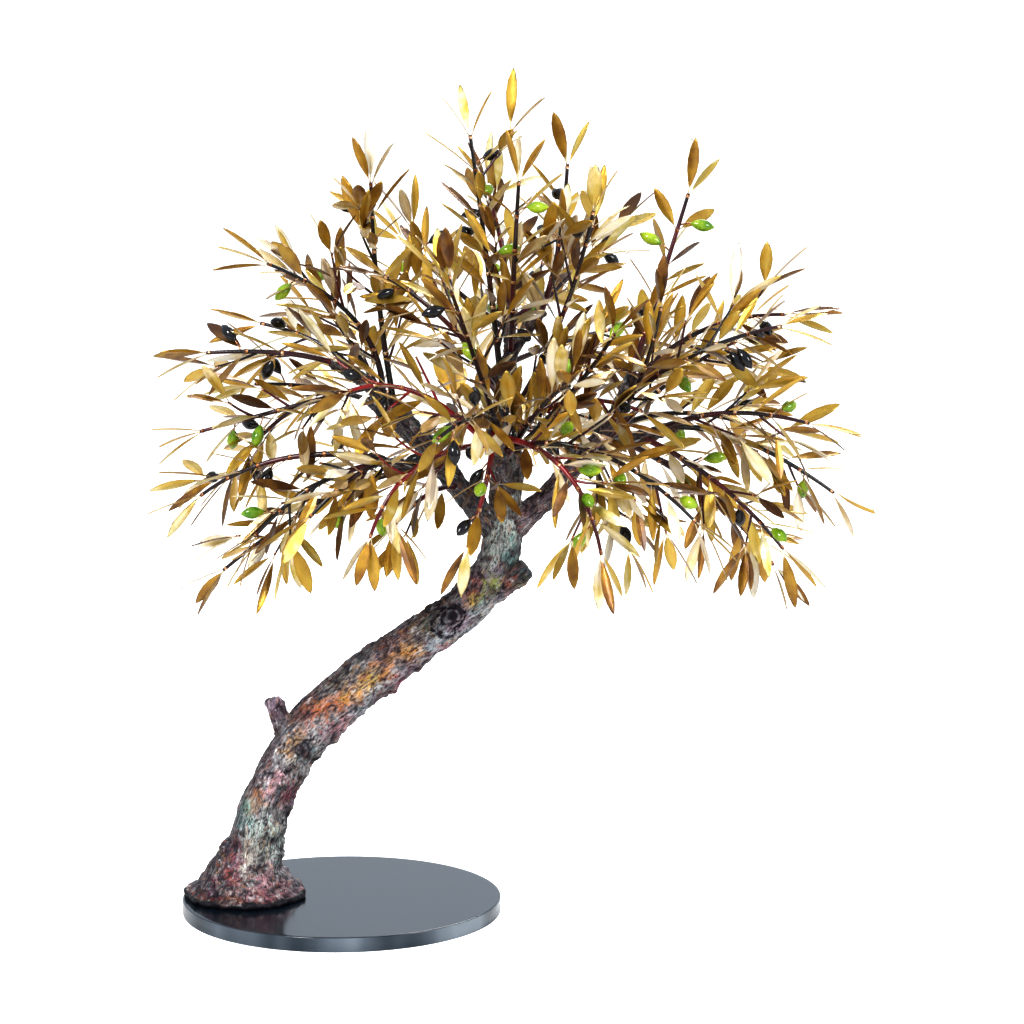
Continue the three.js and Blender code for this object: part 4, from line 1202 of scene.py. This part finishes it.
for number, material in ((STEM, lacquered), (STALK, wire)):
    line = spray.add("GeometryNodeMeshToCurve", {"Mesh": of_kind(number)})
    circle = spray.add("GeometryNodeCurvePrimitiveCircle", {"Resolution": given["Rod sides"], "Radius": 1.0})
    rod = spray.add("GeometryNodeCurveToMesh", {
        "Curve": line.outputs["Curve"], "Profile Curve": circle.outputs["Curve"],
        "Scale": noted(spray, "thick", "FLOAT"), "Fill Caps": True})
    smooth = spray.add("GeometryNodeSetShadeSmooth", {"Geometry": rod.outputs["Mesh"]})
    gather(smooth.outputs["Geometry"], material)
for number, label, material in (
    (LEAF, "Leaf", brass), (BLACK_OLIVE, "Olive", black_glaze), (GREEN_OLIVE, "Olive", green_glaze),
    (BINDING, "Binding", wire),
):
    pattern = spray.add("GeometryNodeObjectInfo", {"Object": given[label]})
    turned_to = spray.add("FunctionNodeAxesToRotation", {
        "Primary Axis": noted(spray, "heading", "FLOAT_VECTOR"),
        "Secondary Axis": noted(spray, "face", "FLOAT_VECTOR")}, primary_axis="Y", secondary_axis="Z")
    copies = spray.add("GeometryNodeInstanceOnPoints", {
        "Points": of_kind(number), "Instance": pattern.outputs["Geometry"],
        "Rotation": turned_to.outputs["Rotation"], "Scale": noted(spray, "size", "FLOAT_VECTOR")})
    gather(copies.outputs["Instances"], material)
spray.add("NodeGroupOutput", {"Geometry": gathered.outputs["Geometry"]})


class Layout:
    """The points, lines and values that one spray's tree works from."""

    def __init__(self):
        self.rows = []
        self.lines = []

    def point(self, kind, spot, heading=ALONG_Y, face=ALONG_Z, size=(1, 1, 1), tone=0.0, thick=0.0):
        self.rows.append((kind, spot, heading, face, size, tone, thick))

    def rod(self, kind, spots, thicks, tones):
        first = len(self.rows)
        for spot, thick, tone in zip(spots, thicks, tones):
            self.point(kind, spot, thick=thick, tone=tone)
        self.lines += [(i, i + 1) for i in range(first, len(self.rows) - 1)]

    def mesh(self, name):
        made = bpy.data.meshes.new(name)
        kinds, spots, headings, faces, sizes, tones, thicks = zip(*self.rows)
        made.from_pydata((np.array(spots) * MM).tolist(), self.lines, [])
        note(made, "kind", "INT", kinds)
        note(made, "heading", "FLOAT_VECTOR", headings)
        note(made, "face", "FLOAT_VECTOR", faces)
        note(made, "size", "FLOAT_VECTOR", np.array(sizes) * MM)
        note(made, "tone", "FLOAT", tones)
        note(made, "thick", "FLOAT", np.array(thicks) * MM)
        return made


def bind(layout, stem, share):
    """A wire binding round the stem at a share of its length."""
    near = bent_line(*stem["curve"], (max(share - 0.01, 0), min(share + 0.01, 1)))
    axis = unit(near[1] - near[0])
    thick = mix(stem["radii"], share)
    layout.point(BINDING, bent_line(*stem["curve"], share), axis, across_axis(axis, ALONG_Z, ALONG_Y),
                 (thick, BINDING_LENGTH, thick))


# Brown, brass and olive leaves, and pale leaves of painted highlight, as stretches of the leaves'
# colour ramp, and the share of each
LEAF_TONES = [(0.0, 0.2), (0.2, 0.62), (0.6, 0.76), (0.78, 1.0)]
LEAF_TONE_SHARES = [0.2, 0.48, 0.15, 0.17]
LINE_POINTS = {"stem": 15, "twig": 6, "stalk": 5}
STALK_RADIUS = 0.8
ROD_SIDES = 8
chance = np.random.default_rng(5)
for name, stems in sprays:
    layout = Layout()
    for stem in [*stems, *(twig for stem in stems for twig in stem["twigs"])]:
        is_twig = stem["radii"] == TWIG_RADII
        shares = np.linspace(0, 1, LINE_POINTS["twig" if is_twig else "stem"])
        red = RED_STEMS.get(name, chance.uniform(0.12, 0.62))
        layout.rod(STEM, bent_line(*stem["curve"], shares), mix(stem["radii"], shares), red - 0.15 * shares)
        for pair in range(1 if is_twig else int((stem["length"] - BARE_STEM) / LEAF_GAP) + 1):
            bind(layout, stem, 1 - max(pair * LEAF_GAP, TIP_GAP) / stem["length"])
        for leaf in stem["leaves"]:
            tone = chance.choice([chance.uniform(*ends) for ends in LEAF_TONES], p=LEAF_TONE_SHARES)
            layout.point(LEAF, leaf["root"], leaf["heading"], leaf["face"],
                         (leaf["width"] * chance.uniform(0.72, 1.04), leaf["length"], leaf["length"]), tone)
        for olive in stem["fruit"]:
            hang = olive["root"] + olive["heading"] * STALK_LENGTH
            bend = hang - olive["axis"] * 0.35 * STALK_LENGTH
            shares = np.linspace(0, 1, LINE_POINTS["stalk"])
            stalk = bent_line(olive["root"], bend, hang + olive["axis"], shares)
            layout.rod(STALK, stalk, np.full(len(stalk), STALK_RADIUS), np.zeros(len(stalk)))
            kind = BLACK_OLIVE if olive["colour"] == "b" else GREEN_OLIVE
            layout.point(kind, hang, olive["axis"], across_axis(olive["axis"], ALONG_Z, ALONG_Y),
                         (OLIVE_WIDTH * 0.94, OLIVE_LENGTH, OLIVE_WIDTH * 0.94))
    piece = finished("leafy_" + name, layout.mesh("leafy_" + name))
    worked_by(piece, spray_tree, Leaf=leaf_pattern, Olive=olive_pattern, Binding=binding_pattern,
              Rod_sides=ROD_SIDES)
    for label in ("kind", "heading", "face", "size", "thick"):
        if label in piece.data.attributes:
            piece.data.attributes.remove(piece.data.attributes[label])
    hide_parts("spray_" + name)
    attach(piece, "root")
for pattern in (leaf_pattern, olive_pattern, binding_pattern):
    bpy.data.objects.remove(pattern)


# THE CAMERA, THE FLOOR AND THE LIGHT
# A pale floor and a white surround under three broad soft lights, and the photograph's long lens.

camera = bpy.data.objects.new("camera", bpy.data.cameras.new("camera"))
camera.location = (0.1714, -3.7199, 1.0032)
camera.rotation_euler = (math.radians(80.88), 0, 0)
camera.data.lens = 133.6
camera.data.sensor_width = 36
camera.data.clip_end = 200
bpy.context.scene.collection.objects.link(camera)
bpy.context.scene.camera = camera

pale, nodes, shader = finish_named("pale_floor", Roughness=0.9, Emission_Color=(1, 1, 1, 1))
shade = nodes.noise(nodes.place(), 0.8)
seen = nodes.add("ShaderNodeLightPath").outputs["Is Camera Ray"]
dress(nodes, shader, Base_Color=nodes.ramp(shade, (0.0, (0.93, 0.93, 0.93)), (1.0, (0.96, 0.96, 0.96))),
      Emission_Strength=nodes.span(seen, 0.0, 1.0, 0.0, 0.62))
floor_shape = bmesh.new()
bmesh.ops.create_grid(floor_shape, x_segments=8, y_segments=8, size=60)
floor_mesh = bpy.data.meshes.new("floor")
floor_shape.to_mesh(floor_mesh)
floor_shape.free()
floor = finished("floor", floor_mesh, pale)

LIGHTS_AIM = (0.15, 0, 0.4)
for name, place, size, power in (
    ("key", (-1.4, -2.2, 2.4), 1.0, 84), ("fill", (2.6, -1.4, 1.5), 1.2, 40),
    ("back", (0.6, 2.4, 2.2), 1.2, 40),
):
    lamp = bpy.data.lights.new(name, "AREA")
    lamp.shape = "DISK"
    lamp.size = size
    lamp.energy = power
    light = bpy.data.objects.new(name, lamp)
    light.location = place
    light.rotation_euler = (Vector(LIGHTS_AIM) - Vector(place)).to_track_quat("-Z", "Y").to_euler()
    bpy.context.scene.collection.objects.link(light)

surround = bpy.data.worlds.new("surround")
surround.use_nodes = True
sky = Nodes(surround.node_tree)
rays = sky.add("ShaderNodeLightPath").outputs
mirrored = rays["Is Glossy Ray"]
strength = sky.math("MAXIMUM", sky.span(mirrored, 0.0, 1.0, 0.38, 0.86), rays["Is Camera Ray"])
colour = sky.blend(mirrored, (1, 1, 1), (0.87, 0.96, 1.06))
dress(sky, surround.node_tree.nodes["Background"], Strength=strength, Color=colour)
bpy.context.scene.world = surround
bpy.context.scene.view_settings.view_transform = "Standard"
bpy.context.scene.view_settings.exposure = 0.5
bpy.context.scene.view_settings.gamma = 0.78
